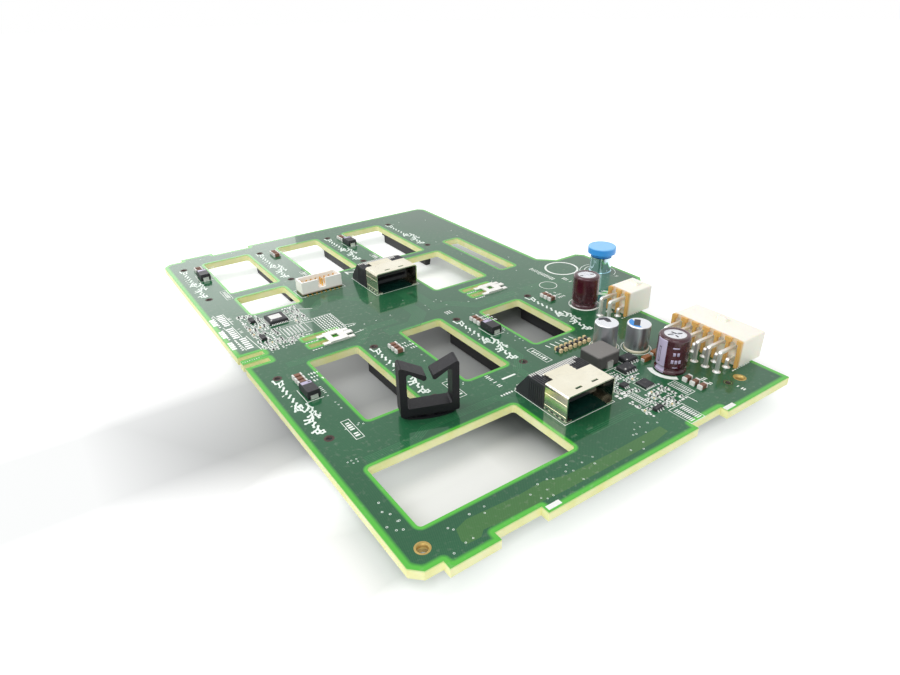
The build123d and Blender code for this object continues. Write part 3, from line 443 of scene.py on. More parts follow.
# %% The laminate
LAYER_T = 0.0004
laminate, tree = blank_material("laminate_green")
tones = place_effect(tree, drift, First=srgb(240, 240, 168), Second=srgb(250, 250, 204), Scale=160.0)
height_of = split(tree, place_of(tree))["Z"]
ragged = noise(tree, 700.0)
phase = maths(tree, "MULTIPLY_ADD", height_of, 2 * math.pi / LAYER_T, maths(tree, "MULTIPLY", ragged, 3.0))
layers = maths(tree, "SINE", phase)
lined = blend_colour(tree, stretch(tree, layers, 0.4, 1.0, 0.0, 0.3), tones["Color"], srgb(206, 202, 112))
rim = maths(tree, "MULTIPLY", stretch(tree, height_of, 0.0022, 0.0028), 0.7)
walls = blend_colour(tree, rim, lined, srgb(150, 204, 96))
facing = split(tree, node(tree, "ShaderNodeTexCoord").outputs["Normal"])["Z"]
flat = maths(tree, "ABSOLUTE", facing)
principled(tree, {
    "Base Color": blend_colour(tree, stretch(tree, flat, 0.4, 0.6), walls, srgb(104, 186, 84)),
    "Roughness": stretch(tree, flat, 0.4, 0.6, 0.6, 0.3),
    "Normal": bumped(tree, 0.3, 0.00006, maths(tree, "ADD", layers, ragged)),
    "Subsurface Weight": 0.1,
    "Subsurface Scale": 0.001,
})
FINISHES["laminate_green"] = laminate

for row in frame["record"]["subparts"]:
    for held in frame["nodes"][row["node"]].material_slots:
        held.material = FINISHES[row["material_slot"]]

# %% [markdown]
# Over the laminate lies the solder mask: dark, glossy green where copper is under it, and lime
# along every edge, where there is none and light comes through the resin. It needs to know how
# far each point is from an edge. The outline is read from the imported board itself: the rim of
# its flat top face gives closed loops, and numpy measures distances to them.

# %% Read the outline of the board
HOLE_LIMIT = 9


def merged_copy(mesh):
    """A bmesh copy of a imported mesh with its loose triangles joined."""
    copy = bmesh.new()
    copy.from_mesh(mesh)
    bmesh.ops.remove_doubles(copy, verts=copy.verts, dist=1e-6)
    return copy


def face_loops(name, height):
    """Closed loops of (x, y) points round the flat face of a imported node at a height, in mm."""
    copy = merged_copy(frame["nodes"][name].data)
    copy.verts.index_update()
    flat = (f for f in copy.faces if all(abs(v.co.z - height * MM) < 1e-6 for v in f.verts))
    level_faces = dict.fromkeys(flat)
    following = {}
    for face in level_faces:
        for corner in face.loops:
            if sum(other in level_faces for other in corner.edge.link_faces) == 1:
                following[corner.vert.index] = corner.link_loop_next.vert.index
    places = [(v.co.x / MM, v.co.y / MM) for v in copy.verts]
    copy.free()
    loops = []
    while following:
        start = next(iter(following))
        walk = [start]
        while following:
            after = following.pop(walk[-1])
            if after == start:
                break
            walk.append(after)
        loops.append(np.array([places[i] for i in walk]))
    return loops


def area_of(loop):
    """Area inside a loop."""
    ahead = np.roll(loop, -1, axis=0)
    return abs(0.5 * float(np.sum(loop[:, 0] * ahead[:, 1] - ahead[:, 0] * loop[:, 1])))


def distance_to(points, loops):
    """Distance from each point to the nearest side of the loops."""
    best = np.full(len(points), 1e9)
    for loop in loops:
        for start, end in zip(loop, np.roll(loop, -1, axis=0)):
            way = end - start
            share = np.clip(((points - start) @ way) / max(way @ way, 1e-12), 0, 1)
            best = np.minimum(best, np.hypot(*(points - start - share[:, None] * way).T))
    return best


def inside(points, loop):
    """Even-odd test of points against one loop."""
    found = np.zeros(len(points), bool)
    for (x0, y0), (x1, y1) in zip(loop, np.roll(loop, -1, axis=0)):
        if y0 == y1:
            continue
        crosses = (points[:, 1] >= min(y0, y1)) & (points[:, 1] < max(y0, y1))
        found ^= crosses & (points[:, 0] < x0 + (points[:, 1] - y0) * (x1 - x0) / (y1 - y0))
    return found


def on_material(points, rim, openings):
    """Which points lie inside the rim and in none of the openings."""
    found = inside(points, rim)
    for loop in openings:
        found &= ~inside(points, loop)
    return found


board_loops = sorted(face_loops("board", BOARD_TOP), key=lambda p: -area_of(p))
outer, cutouts = board_loops[0], board_loops[1:]
windows = [p for p in cutouts if np.ptp(p, axis=0).max() > HOLE_LIMIT]
holes = [p for p in cutouts if np.ptp(p, axis=0).max() <= HOLE_LIMIT]
print("outline of", len(outer), "points,", len(windows), "windows and slots,", len(holes), "round holes")

# %% [markdown]
# The mask is a thin closed slab. Its points lie close together near the edges, where the tone
# changes, and far apart elsewhere. A constrained Delaunay triangulation joins them and keeps
# every edge of the board. Each point carries its share of the lime border as an attribute.

# %% Build the solder mask
OUTER_BORDER = 1.8
WINDOW_BORDER = 1.3
MASK_INSET = 0.12
MASK_T = 0.02
FINE_STEP, COARSE_EVERY = 0.8, 4
RIM_STEP, RIM_CLEAR = 1.5, 0.45
NEAR_EDGE, NEAR_HOLE = 0.6, 0.8


def finer(loop, longest):
    """The loop with extra points on its long sides."""
    out = []
    for start, end in zip(loop, np.roll(loop, -1, axis=0)):
        steps = max(1, math.ceil(np.hypot(*(end - start)) / longest))
        out += [start + (end - start) * i / steps for i in range(steps)]
    return np.array(out)


def drawn_in(loop, by):
    """The loop moved by a small distance into the material on its left."""
    back, ahead = np.roll(loop, 1, axis=0), np.roll(loop, -1, axis=0)
    first, second = loop - back, ahead - loop
    first /= np.hypot(*first.T)[:, None]
    second /= np.hypot(*second.T)[:, None]
    left = np.stack([-(first[:, 1] + second[:, 1]), first[:, 0] + second[:, 0]], axis=1)
    reach = np.einsum("ij,ij->i", left, np.stack([-second[:, 1], second[:, 0]], axis=1))
    return loop + by * left / reach[:, None]


rims = [finer(drawn_in(p, MASK_INSET), RIM_STEP) for p in board_loops]
low, high = outer.min(axis=0), outer.max(axis=0)
ticks = [np.arange(low[i], high[i], FINE_STEP) for i in range(2)]
points = np.stack(np.meshgrid(*ticks, indexing="ij"), axis=-1).reshape(-1, 2)
coarse = np.outer(*[np.arange(len(t)) % COARSE_EVERY == 0 for t in ticks]).reshape(-1)
kept = on_material(points, outer, cutouts)
points, coarse = points[kept], coarse[kept]
to_edge = distance_to(points, [outer] + windows)
to_hole = distance_to(points, holes)
near = (to_edge < OUTER_BORDER + NEAR_EDGE) | (to_hole < NEAR_HOLE)
points = points[(np.minimum(to_edge, to_hole) > RIM_CLEAR) & (near | coarse)]
corners = np.concatenate(rims + [points])
sides, begin = [], 0
for rim_points in rims:
    count = len(rim_points)
    sides += [(begin + i, begin + (i + 1) % count) for i in range(count)]
    begin += count
made = delaunay_2d_cdt([Vector(p) for p in corners], sides, [], 1, 1e-5)
spots = np.array([tuple(v) for v in made[0]])
triangles = np.array([tuple(f) for f in made[2]])
triangles = triangles[on_material(spots[triangles].mean(axis=1), rims[0], rims[1:])]
shares = [distance_to(spots, [outer]) / OUTER_BORDER, distance_to(spots, windows) / WINDOW_BORDER]
border_share = np.minimum(*shares)
print(len(spots), "points and", len(triangles), "triangles in one side of the mask")


def mask_slab(name, base, thickness):
    """A closed slab from the triangulation, between two heights in mm."""
    count = len(spots)
    places = [(x * MM, y * MM, z * MM) for z in (base, base + thickness) for x, y in spots]
    faces = [tuple(f) for f in triangles + count] + [tuple(f[::-1]) for f in triangles]
    used = dict.fromkeys(side for a, b, c in triangles for side in ((a, b), (b, c), (c, a)))
    faces += [(a, b, b + count, a + count) for a, b in used if (b, a) not in used]
    mesh = bpy.data.meshes.new(name)
    mesh.from_pydata(places, [], faces)
    mesh.validate()
    border = mesh.attributes.new("border", "FLOAT", "POINT")
    border.data.foreach_set("value", np.tile(border_share, 2).astype(np.float32))
    return linked(name, mesh)


mask_top = mask_slab("mask_top", BOARD_TOP, MASK_T)
mask_bottom = mask_slab("mask_bottom", -MASK_T, MASK_T)

# %% [markdown]
# The mask's material goes from lime to deep green by that attribute. The weave of the glass
# shows faintly, both in the tone and as a bump, and a clear coat gives the wet gloss that
# mirrors the clip and turns milky towards the far end, where it is seen at a low angle.

# %% The solder mask's material
WOVEN_TONE = srgb(96, 150, 104)


def mask_material(name, deep, deeper, edge, weave_strength=0.22):
    """Glossy mask of two deep tones, with an edge tone where the border attribute is low."""
    material, tree = blank_material(name)
    tones = place_effect(tree, drift, First=srgb(*deep), Second=srgb(*deeper), Scale=18.0)
    threads = place_effect(tree, weave, Pitch=0.00055)[0]
    woven = blend_colour(tree, maths(tree, "MULTIPLY", threads, weave_strength), tones["Color"], WOVEN_TONE)
    border = node(tree, "ShaderNodeAttribute", attribute_name="border").outputs["Fac"]
    depth = stretch(tree, maths(tree, "MULTIPLY_ADD", noise(tree, 500.0), 0.08, border), 0.6, 1.1)
    settled = place_effect(tree, dust, Scale=700.0, Amount=0.22)[0]
    colour = blend_colour(tree, depth, srgb(*edge), woven)
    principled(tree, {
        "Base Color": blend_colour(tree, settled, colour, DUST_TONE),
        "Roughness": stretch(tree, tones["Mask"], 0.0, 1.0, 0.28, 0.4),
        "Normal": bumped(tree, 0.12, 0.00003, threads),
        "Specular IOR Level": 0.1,
        "Coat Weight": 1.0,
        "Coat Roughness": 0.04,
        "Coat IOR": 1.36,
    })
    return material


SOLDER_MASK = mask_material("solder_mask", (8, 72, 44), (18, 90, 56), (84, 184, 62))
for piece in (mask_top, mask_bottom):
    piece.data.materials.append(SOLDER_MASK)
    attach(piece, BODY)
print("mask lies", MASK_T, "mm thick on both sides")

# %% [markdown]
# Hundreds of things on this board repeat: pads, vias, leads, solder points, tiny passives.
# Geometry Nodes make them. A point stands for each place and carries its turn and its size as
# attributes; one tree puts an item on every point, with a small seeded scatter, makes the
# copies real and gives them their finish.

# %% A tree that copies an item onto points
def new_tree(name, sockets):
    """An empty geometry tree with the named inputs, and the outputs of its input node."""
    tree = bpy.data.node_groups.new(name, "GeometryNodeTree")
    for label, kind in [("Geometry", "Geometry")] + sockets:
        tree.interface.new_socket(label, in_out="INPUT", socket_type="NodeSocket" + kind)
    tree.interface.new_socket("Geometry", in_out="OUTPUT", socket_type="NodeSocketGeometry")
    return tree, node(tree, "NodeGroupInput").outputs


def end_tree(tree, geometry, coat):
    """The closing nodes of every tree: real geometry in one finish."""
    real = node(tree, "GeometryNodeRealizeInstances", {"Geometry": geometry}).outputs[0]
    coated = node(tree, "GeometryNodeSetMaterial", {"Geometry": real, "Material": coat}).outputs[0]
    node(tree, "NodeGroupOutput", {"Geometry": coated})


def carried(tree, name, kind):
    """A point's own value, read from a named attribute."""
    made = node(tree, "GeometryNodeInputNamedAttribute", {"Name": name}, data_type=kind)
    return next(socket for socket in made.outputs if socket.enabled)


def scattered(tree, low, high, seed):
    """A random number for each point between two values."""
    inputs = {2: low, 3: high, "Seed": seed}
    return node(tree, "FunctionNodeRandomValue", inputs, data_type="FLOAT").outputs[1]


numbers = [("Turn Spread", "Float"), ("Size Spread", "Float"), ("Seed", "Int")]
COPY_TREE, given = new_tree("copies_on_points", [("Item", "Object")] + numbers + [("Finish", "Material")])
item = node(COPY_TREE, "GeometryNodeObjectInfo", {"Object": given["Item"]}).outputs["Geometry"]
less_turn = maths(COPY_TREE, "MULTIPLY", given["Turn Spread"], -1.0)
swing = scattered(COPY_TREE, less_turn, given["Turn Spread"], given["Seed"])
turned_by = maths(COPY_TREE, "ADD", carried(COPY_TREE, "turn", "FLOAT"), swing)
euler = node(COPY_TREE, "ShaderNodeCombineXYZ", {"Z": turned_by}).outputs[0]
rotation = node(COPY_TREE, "FunctionNodeEulerToRotation", {"Euler": euler}).outputs[0]
less_size = maths(COPY_TREE, "SUBTRACT", 1.0, given["Size Spread"])
more_size = maths(COPY_TREE, "ADD", 1.0, given["Size Spread"])
growth = scattered(COPY_TREE, less_size, more_size, given["Seed"])
terms = {0: carried(COPY_TREE, "size", "FLOAT_VECTOR"), "Scale": growth}
sized = node(COPY_TREE, "ShaderNodeVectorMath", terms, operation="SCALE").outputs[0]
terms = {"Points": given["Geometry"], "Instance": item, "Rotation": rotation, "Scale": sized}
placed = node(COPY_TREE, "GeometryNodeInstanceOnPoints", terms).outputs[0]
end_tree(COPY_TREE, placed, given["Finish"])

# %% [markdown]
# Lines of a width, such as the white legend print or a copper trace, follow a path. A second
# tree turns wires into curves and sweeps a flat section along them.

# %% A tree that sweeps a flat line along a path
LINE_TREE, given = new_tree("swept_lines", [("Width", "Float"), ("Height", "Float"), ("Finish", "Material")])
path = node(LINE_TREE, "GeometryNodeMeshToCurve", {"Mesh": given["Geometry"]}).outputs[0]
upright = node(LINE_TREE, "GeometryNodeSetCurveNormal", {"Curve": path}, mode="Z_UP").outputs[0]
terms = {"Width": given["Width"], "Height": given["Height"]}
section = node(LINE_TREE, "GeometryNodeCurvePrimitiveQuadrilateral", terms).outputs[0]
terms = {"Curve": upright, "Profile Curve": section, "Fill Caps": True}
swept = node(LINE_TREE, "GeometryNodeCurveToMesh", terms).outputs[0]
facets = node(LINE_TREE, "GeometryNodeSetShadeSmooth", {"Geometry": swept, "Shade Smooth": False})
end_tree(LINE_TREE, facets.outputs[0], given["Finish"])

# %% [markdown]
# A tree runs as a modifier. Its inputs are set by their identifiers before the first
# evaluation; then the result is kept as a plain mesh, and the source object goes away.

# %% Running a tree and placing pieces
def new_piece(name, mesh):
    """An object for a finished mesh, which rides on the backplane."""
    mesh.name = name
    piece = linked(name, mesh)
    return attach(piece, BODY)


def evaluated_mesh(holder):
    """The final mesh of an object with its modifiers."""
    bpy.context.view_layer.update()
    return bpy.data.meshes.new_from_object(holder.evaluated_get(bpy.context.evaluated_depsgraph_get()))


def grown(name, source, tree, values):
    """The piece that a geometry tree makes from a source mesh."""
    holder = linked(name + "_source", source)
    modifier = holder.modifiers.new("grow", "NODES")
    modifier.node_group = tree
    for socket in tree.interface.items_tree:
        if socket.in_out == "INPUT" and socket.name in values:
            modifier[socket.identifier] = values[socket.name]
    mesh = evaluated_mesh(holder)
    holder.modifiers.remove(modifier)
    bpy.data.objects.remove(holder)
    bpy.data.meshes.remove(source)
    piece = new_piece(name, mesh)
    print(name, "has", len(mesh.polygons), "faces")
    return piece


def copies(name, item, rows, coat, slot, turn_spread=0.0, size_spread=0.0, seed=1):
    """Copies of an item; a row is x, y, z, width, length and height in mm and a turn in degrees."""
    table = np.array(rows, float)
    source = bpy.data.meshes.new(name)
    source.from_pydata((table[:, :3] * MM).tolist(), [], [])
    turn = source.attributes.new("turn", "FLOAT", "POINT")
    turn.data.foreach_set("value", np.radians(table[:, 6]).astype(np.float32))
    size = source.attributes.new("size", "FLOAT_VECTOR", "POINT")
    size.data.foreach_set("vector", (table[:, 3:6] * MM).astype(np.float32).ravel())
    values = {"Item": item, "Turn Spread": turn_spread, "Size Spread": size_spread}
    values.update({"Seed": seed, "Finish": coat})
    return grown(name, source, COPY_TREE, values)


def swept_lines(name, paths, width, height, z, coat):
    """Flat lines along (points, closed) paths in mm, whose underside is at height z."""
    places, wires = [], []
    for points_on, closed in paths:
        begin, count = len(places), len(points_on)
        places += [(x * MM, y * MM, (z + height / 2) * MM) for x, y in points_on]
        wires += [(begin + i, begin + i + 1) for i in range(count - 1)]
        if closed:
            wires.append((begin + count - 1, begin))
    source = bpy.data.meshes.new(name)
    source.from_pydata(places, wires, [])
    values = {"Width": width * MM, "Height": height * MM, "Finish": coat}
    return grown(name, source, LINE_TREE, values)


# %% [markdown]
# The items are small meshes of a unit size with few faces, because each is copied many times:
# a block with a soft top edge, a dome, an eyelet, a solder cone, a flat disc, the liner of a
# hole, a thin ring and a bent lead.

# %% Items to copy
ITEMS = []


def turned_mesh(profile, segments):
    """A closed shape turned round Z from (radius, height) points that run from its foot to its top."""
    shape = bmesh.new()
    steps = [2 * math.pi * i / segments for i in range(segments)]
    rings = []
    for radius, height in profile:
        around = steps if radius > 1e-9 else [0.0]
        rings.append([shape.verts.new((radius * math.cos(a), radius * math.sin(a), height)) for a in around])
    for below, above in zip(rings, rings[1:]):
        for i in range(segments):
            j = (i + 1) % segments
            if len(above) == 1:
                shape.faces.new((below[i], below[j], above[0]))
            else:
                shape.faces.new((below[i], below[j], above[j], above[i]))
    if profile[0] != profile[-1]:
        shape.faces.new(rings[0][::-1])
        if len(rings[-1]) > 1:
            shape.faces.new(rings[-1])
    bmesh.ops.remove_doubles(shape, verts=shape.verts, dist=1e-7)
    bmesh.ops.recalc_face_normals(shape, faces=shape.faces)
    return shape


def prism(outline, low_z, high_z):
    """A closed upright prism over a polygon."""
    shape = bmesh.new()
    foot = [shape.verts.new((x, y, low_z)) for x, y in outline]
    head = [shape.verts.new((x, y, high_z)) for x, y in outline]
    shape.faces.new(foot[::-1])
    shape.faces.new(head)
    for i in range(len(outline)):
        j = (i + 1) % len(outline)
        shape.faces.new((foot[i], foot[j], head[j], head[i]))
    bmesh.ops.recalc_face_normals(shape, faces=shape.faces)
    return shape


def keep_item(name, shape, smooth=False):
    """An object that holds an item until all copies are made."""
    ITEMS.append(linked(name, mesh_of(name, shape, smooth=smooth)))
    return ITEMS[-1]


shape = prism([(-0.5, -0.5), (0.5, -0.5), (0.5, 0.5), (-0.5, 0.5)], 0.0, 1.0)
top_edges = [e for e in shape.edges if all(v.co.z > 0.5 for v in e.verts)]
bmesh.ops.bevel(shape, geom=top_edges, offset=0.1, segments=1, affect="EDGES")
BLOCK = keep_item("block_item", shape)
DOME = keep_item("dome_item", turned_mesh([(0.5, 0.0), (0.46, 0.4), (0.32, 0.78), (0.0, 1.0)], 10), True)
profile = [(0.3, 0.0), (0.5, 0.0), (0.5, 0.7), (0.45, 1.0), (0.36, 1.0), (0.3, 0.7), (0.3, 0.0)]
EYELET = keep_item("eyelet_item", turned_mesh(profile, 20))
profile = [(0.5, 0.0), (0.36, 0.16), (0.24, 0.5), (0.2, 1.0), (0.0, 1.0)]
CONE = keep_item("cone_item", turned_mesh(profile, 12), True)
DISC = keep_item("disc_item", turned_mesh([(0.5, 0.0), (0.5, 1.0)], 10))
profile = [(0.48, 0.0), (0.51, 0.0), (0.51, 1.0), (0.48, 1.0), (0.48, 0.0)]
LINER = keep_item("liner_item", turned_mesh(profile, 24), True)
profile = [(0.38, 0.0), (0.5, 0.0), (0.5, 0.7), (0.47, 1.0), (0.41, 1.0), (0.38, 0.7), (0.38, 0.0)]
THIN_RING = keep_item("thin_ring_item", turned_mesh(profile, 28))
side_view = [(-0.1, 0.62), (0.3, 0.62), (0.5, 0.16), (1.0, 0.16)]
side_view += [(1.0, 0.0), (0.42, 0.0), (0.22, 0.46), (-0.1, 0.46)]
shape = prism(side_view, -0.5, 0.5)
for vert in shape.verts:
    vert.co = (vert.co.z, vert.co.x, vert.co.y)
LEAD = keep_item("lead_item", shape)
print("items:", [o.name for o in ITEMS])

# %% [markdown]
# More finishes for the pieces that only exist here: the white legend print, bright solder,
# plated copper, the dark bodies of resistors and the amber of moulded tantalum parts.

# %% Finishes of the small pieces
SMALL_ROWS = [
    ("legend_white", (232, 240, 230), (248, 250, 246), (0.45, 0.6), dict(patch=500.0, bump=0.1, dusty=0.1)),
    ("solder_bright", (236, 238, 234), (250, 250, 248), (0.3, 0.5),
     dict(metal=0.6, patch=700.0, bump=0.25, dusty=0.05)),
    ("track_tin", (222, 236, 226), (242, 248, 242), (0.35, 0.5),
     dict(metal=0.35, patch=600.0, bump=0.2, dusty=0.05)),
    ("copper_ring", (176, 146, 84), (200, 172, 104), (0.3, 0.45), dict(metal=0.6, patch=500.0, dusty=0.1)),
    ("sealed_ring", (48, 32, 26), (70, 46, 36), (0.4, 0.6), dict(patch=600.0, dusty=0.05)),
    ("ceramic_tan", (214, 190, 140), (232, 212, 168), (0.4, 0.6), dict(patch=500.0, dusty=0.05)),
    # painted shade: a dark sheet that stands for the shade inside the port shells
    ("port_floor", (10, 42, 36), (16, 54, 46), (0.15, 0.25), dict(patch=300.0, dusty=0.0)),
    ("resistor_black", (36, 36, 40), (58, 58, 62), (0.35, 0.5), dict(patch=800.0)),
    ("tantalum_amber", (134, 82, 42), (160, 102, 56), (0.35, 0.5), dict(patch=400.0, dusty=0.1)),
    ("chip_label", (222, 222, 218), (238, 238, 234), (0.4, 0.55), dict(patch=300.0)),
    ("stripe_lavender", (176, 166, 196), (194, 184, 212), (0.25, 0.4),
     dict(patch=160.0, Coat_Weight=0.5, Coat_Roughness=0.12)),
    ("print_dark", (34, 34, 44), (48, 48, 58), (0.4, 0.5), {}),
    ("print_blue", (40, 132, 214), (58, 148, 226), (0.35, 0.5), {}),
]
LEGEND, SOLDER, TRACK_TIN, COPPER, SEALED, CERAMIC_TAN, PORT_PAINTED_SHADE, RESISTOR, AMBER, LABEL, LAVENDER, \
    PRINT_DARK, PRINT_BLUE = [finish(*row[:4], **row[4]) for row in SMALL_ROWS]
TRACE = mask_material("mask_over_trace", (30, 98, 64), (38, 106, 70), (48, 112, 72), 0.1)
OLIVE = mask_material("mask_over_strip", (52, 100, 42), (60, 108, 48), (52, 100, 42), 0.3)

# %% [markdown]
# The legend is thin white ink. Its lines frame the parts: boxes round ports and chips, long
# label boxes beside each drive column, rings round the capacitors and the release pin.

# %% Legend lines
PRINT_Z = BOARD_TOP + MASK_T
INK_T = 0.014
LINE_W, BAND_W, CRESCENT_W = 0.28, 0.9, 1.7
COLUMN_X = [0.3 + 35.1 * i for i in range(4)]
PEG_ROWS = [48.2, 160.3]
PORT_X = 67.05
PORT_FRONTS = [14.8, 123.5]
CAN_CAPS = [(99.5, 39.6), (107.6, 32.6)]
TALL_CAPS = [(118.3, 67.6), (106.0, 17.3)]
MOULDED_CAPS = [(5.3, 72.3), (75.8, 72.3), (5.3, 184.5), (75.8, 184.5)]
CAP_TRIPLES = [(5.6, 80.6), (40.7, 80.3), (75.8, 80.3), (110.8, 80.2)]
CAP_TRIPLES += [(5.6, 192.6), (40.7, 192.4), (75.8, 192.4)]
RELEASE = (147.7, 87.3)
SINGLE_LINES = [
    (0.5, 143.6, 1.0, 132.5), (-3.0, 144.6, -1.5, 132.1), (0.1, 131.3, 0.5, 120.7),
    (-2.9, 132.1, -1.3, 120.7), (1.9, 120.9, 3.0, 107.9), (-2.5, 120.2, -1.4, 110.5),
    (30.7, 127.7, 25.9, 130.6), (21.4, 118.4, 26.7, 117.4), (33.8, 107.8, 38.7, 106.3),
    (34.6, 99.6, 38.6, 100.0), (96.7, 4.2, 96.8, 0.0),
]
FRAME_BOXES = [
    (13.6, 110.6, 23.0, 118.6), (11.2, 122.6, 20.0, 131.2), (26.6, 105.6, 34.5, 119.6),
    (86.3, -5.8, 92.4, 2.1), (97.6, 3.9, 100.9, 11.4), (31.3, 139.3, 50.9, 147.7),
    (89.3, 13.0, 94.3, 18.0), (95.9, 26.3, 101.9, 31.0), (90.9, 22.5, 96.7, 27.2),
    (84.8, 27.8, 95.8, 38.8), (82.6, 7.4, 85.2, 14.8),
]


def box_path(x0, y0, x1, y1):
    """A closed rectangle."""
    return [(x0, y0), (x1, y0), (x1, y1), (x0, y1)], True


def arc_path(x, y, radius, first=0, last=360, steps=40):
    """An arc in degrees; a full turn is closed."""
    full = abs(last - first) >= 360
    count = steps if full else steps + 1
    angles = np.radians([first + (last - first) * i / steps for i in range(count)])
    return [(x + radius * math.cos(a), y + radius * math.sin(a)) for a in angles], full


label_boxes = [(x + 5.9, y) for x in COLUMN_X[:3] for y in (43.3, 155.6)]
legend_paths = [box_path(x, y, x + 2.5, y + 9.9) for x, y in label_boxes]
legend_paths += [box_path(PORT_X - 10.1, y - 0.4, PORT_X + 10.1, y + 21.9) for y in PORT_FRONTS]
for x, y in MOULDED_CAPS:
    legend_paths.append(([(x - 2.7, y + 3.9), (x - 2.7, y - 4.2), (x + 2.7, y - 4.2)], False))
legend_paths += [([(a, b), (c, d)], False) for a, b, c, d in SINGLE_LINES]
legend_paths += [box_path(*corners_of) for corners_of in FRAME_BOXES]
legend_paths += [arc_path(x, y, 5.0) for x, y in CAN_CAPS]
legend_paths += [arc_path(*TALL_CAPS[0], 5.9), arc_path(119.4, 89.4, 3.6)]
legend_paths += [arc_path(*RELEASE, *arc) for arc in ((6.6, -75, 15), (6.6, 60, 200), (8.5, 75, 150))]
swept_lines("legend_lines", legend_paths, LINE_W, INK_T, PRINT_Z, LEGEND)
wide_paths = [arc_path(*TALL_CAPS[0], 5.6, 150, 290), arc_path(136.5, 99.5, 7.0)]
swept_lines("legend_bands", wide_paths, BAND_W, INK_T, PRINT_Z + INK_T, LEGEND)
crescent_path = arc_path(*TALL_CAPS[1], 6.4, 143, 240)
swept_lines("legend_crescent", [crescent_path], CRESCENT_W, INK_T, PRINT_Z + INK_T, LEGEND)

# %% [markdown]
# Where the real board has lettering, the piece keeps short plain bars of the same size, so
# the place reads as print from a step away but says nothing. The two ports are numbered. A row
# holds the first bar's place, how many rows and columns, the steps, a bar's size and its turn.

# %% Legend bars and numerals
rng = random.Random(11)
bars = []
BAR_BLOCKS = [(x + 1.25, y + 1.6, 7, 1, 1.0, 1.1, (1.3, 0.6)) for x, y in label_boxes]
BAR_BLOCKS += [(x + 3.9, y - 2.2, 3, 4, 0.95, 2.2, (0.4, 1.1), 8) for x, y in CAP_TRIPLES]
BAR_BLOCKS += [(x + 4.0, y - 2.4, 5, 1, 1.0, 1.0, (0.9, 0.4)) for x, y in MOULDED_CAPS]
BAR_BLOCKS += [(x - 2.4, y, 4, 1, 1.0, 2.2, (0.8, 0.35), 20) for x in COLUMN_X[:3] for y in (69.0, 181.0)]
BAR_BLOCKS += [
    (1.5, 135.4, 5, 1, 1.0, 1.1, (1.0, 0.4)),
    (1.6, 123.3, 5, 1, 1.0, 1.1, (1.0, 0.4)),
    (83.9, 50.9, 1, 8, 2.2, 1.0, (0.45, 2.2), 12),
    (125.5, 93.0, 14, 1, 1.0, 1.08, (2.2, 0.45)),
    (129.6, 86.8, 5, 1, 1.0, 1.05, (1.8, 0.45)),
    (129.8, 70.4, 1, 7, 0.95, 1.0, (0.4, 3.8), 25),
    (122.8, 51.1, 1, 9, 1.1, 1.0, (0.7, 0.35)),
    (148.9, 79.2, 1, 2, 0.9, 1.0, (0.35, 1.5), 20),
    (108.0, 4.0, 2, 3, 0.9, 2.7, (0.4, 1.2), 8),
    (17.4, 102.6, 1, 5, 1.0, 1.0, (0.7, 0.5)),
    (17.4, 96.6, 1, 5, 1.0, 1.0, (0.7, 0.5)),
    (35.4, 105.6, 1, 4, 1.0, 1.0, (0.7, 0.5)),
    (87.5, 102.6, 1, 5, 1.0, 1.0, (0.7, 0.5)),
    (87.5, 96.6, 1, 5, 1.0, 1.0, (0.7, 0.5)),
    (120.8, 4.3, 1, 9, 1.2, 1.0, (0.8, 0.35)),
    (120.8, 50.4, 1, 9, 1.2, 1.0, (0.8, 0.35)),
    (52.0, 36.6, 1, 5, 1.0, 1.0, (0.6, 0.9)),
    (55.0, 41.0, 9, 1, 1.0, 0.9, (1.4, 0.35)),
    (113.9, -5.0, 6, 1, 1.0, 0.75, (1.1, 0.4)),
    (92.2, 39.9, 1, 4, 1.0, 1.0, (0.6, 0.8)),
]
BAR_CHANCE = 0.86
for x, y, rows, columns, step_x, step_y, size, *turned in BAR_BLOCKS:
    for i in range(columns):
        for j in range(rows):
            if rng.random() < BAR_CHANCE:
                bars.append((x + i * step_x, y + j * step_y, PRINT_Z, *size, INK_T, *(turned or [0.0])))
copies("legend_bars", BLOCK, bars, LEGEND, "laminate_green", turn_spread=0.05, size_spread=0.18, seed=3)


def numeral(name, text, x, y, tall, turn):
    """A plain numeral of legend ink; its place goes into the mesh."""
    curve = bpy.data.curves.new(name, "FONT")
    curve.body = text
    curve.size = tall * MM
    curve.extrude = INK_T / 2 * MM
    curve.align_x = "CENTER"
    curve.align_y = "CENTER"
    holder = linked(name + "_source", curve)
    mesh = evaluated_mesh(holder)
    bpy.data.objects.remove(holder)
    place = Matrix.Translation((x * MM, y * MM, (PRINT_Z + 0.008) * MM))
    mesh.transform(place @ Matrix.Rotation(math.radians(turn), 4, "Z"))
    mesh.materials.clear()
    mesh.materials.append(LEGEND)
    return new_piece(name, mesh)


numeral("port_numeral_1", "1", 60.3, 43.8, 8.0, -90)
numeral("port_numeral_2", "2", 59.8, 152.0, 8.0, -90)

# %% [markdown]
# Along each drive column the receptacle's contacts come through as tinned dots and short wide
# tracks between them. The pattern is the same for all eight, because the same connector
# repeats: short drops below the far peg, then branching chains towards the near peg. A chain
# is one swept path, and a flat disc at each of its points rounds its bends and ends.

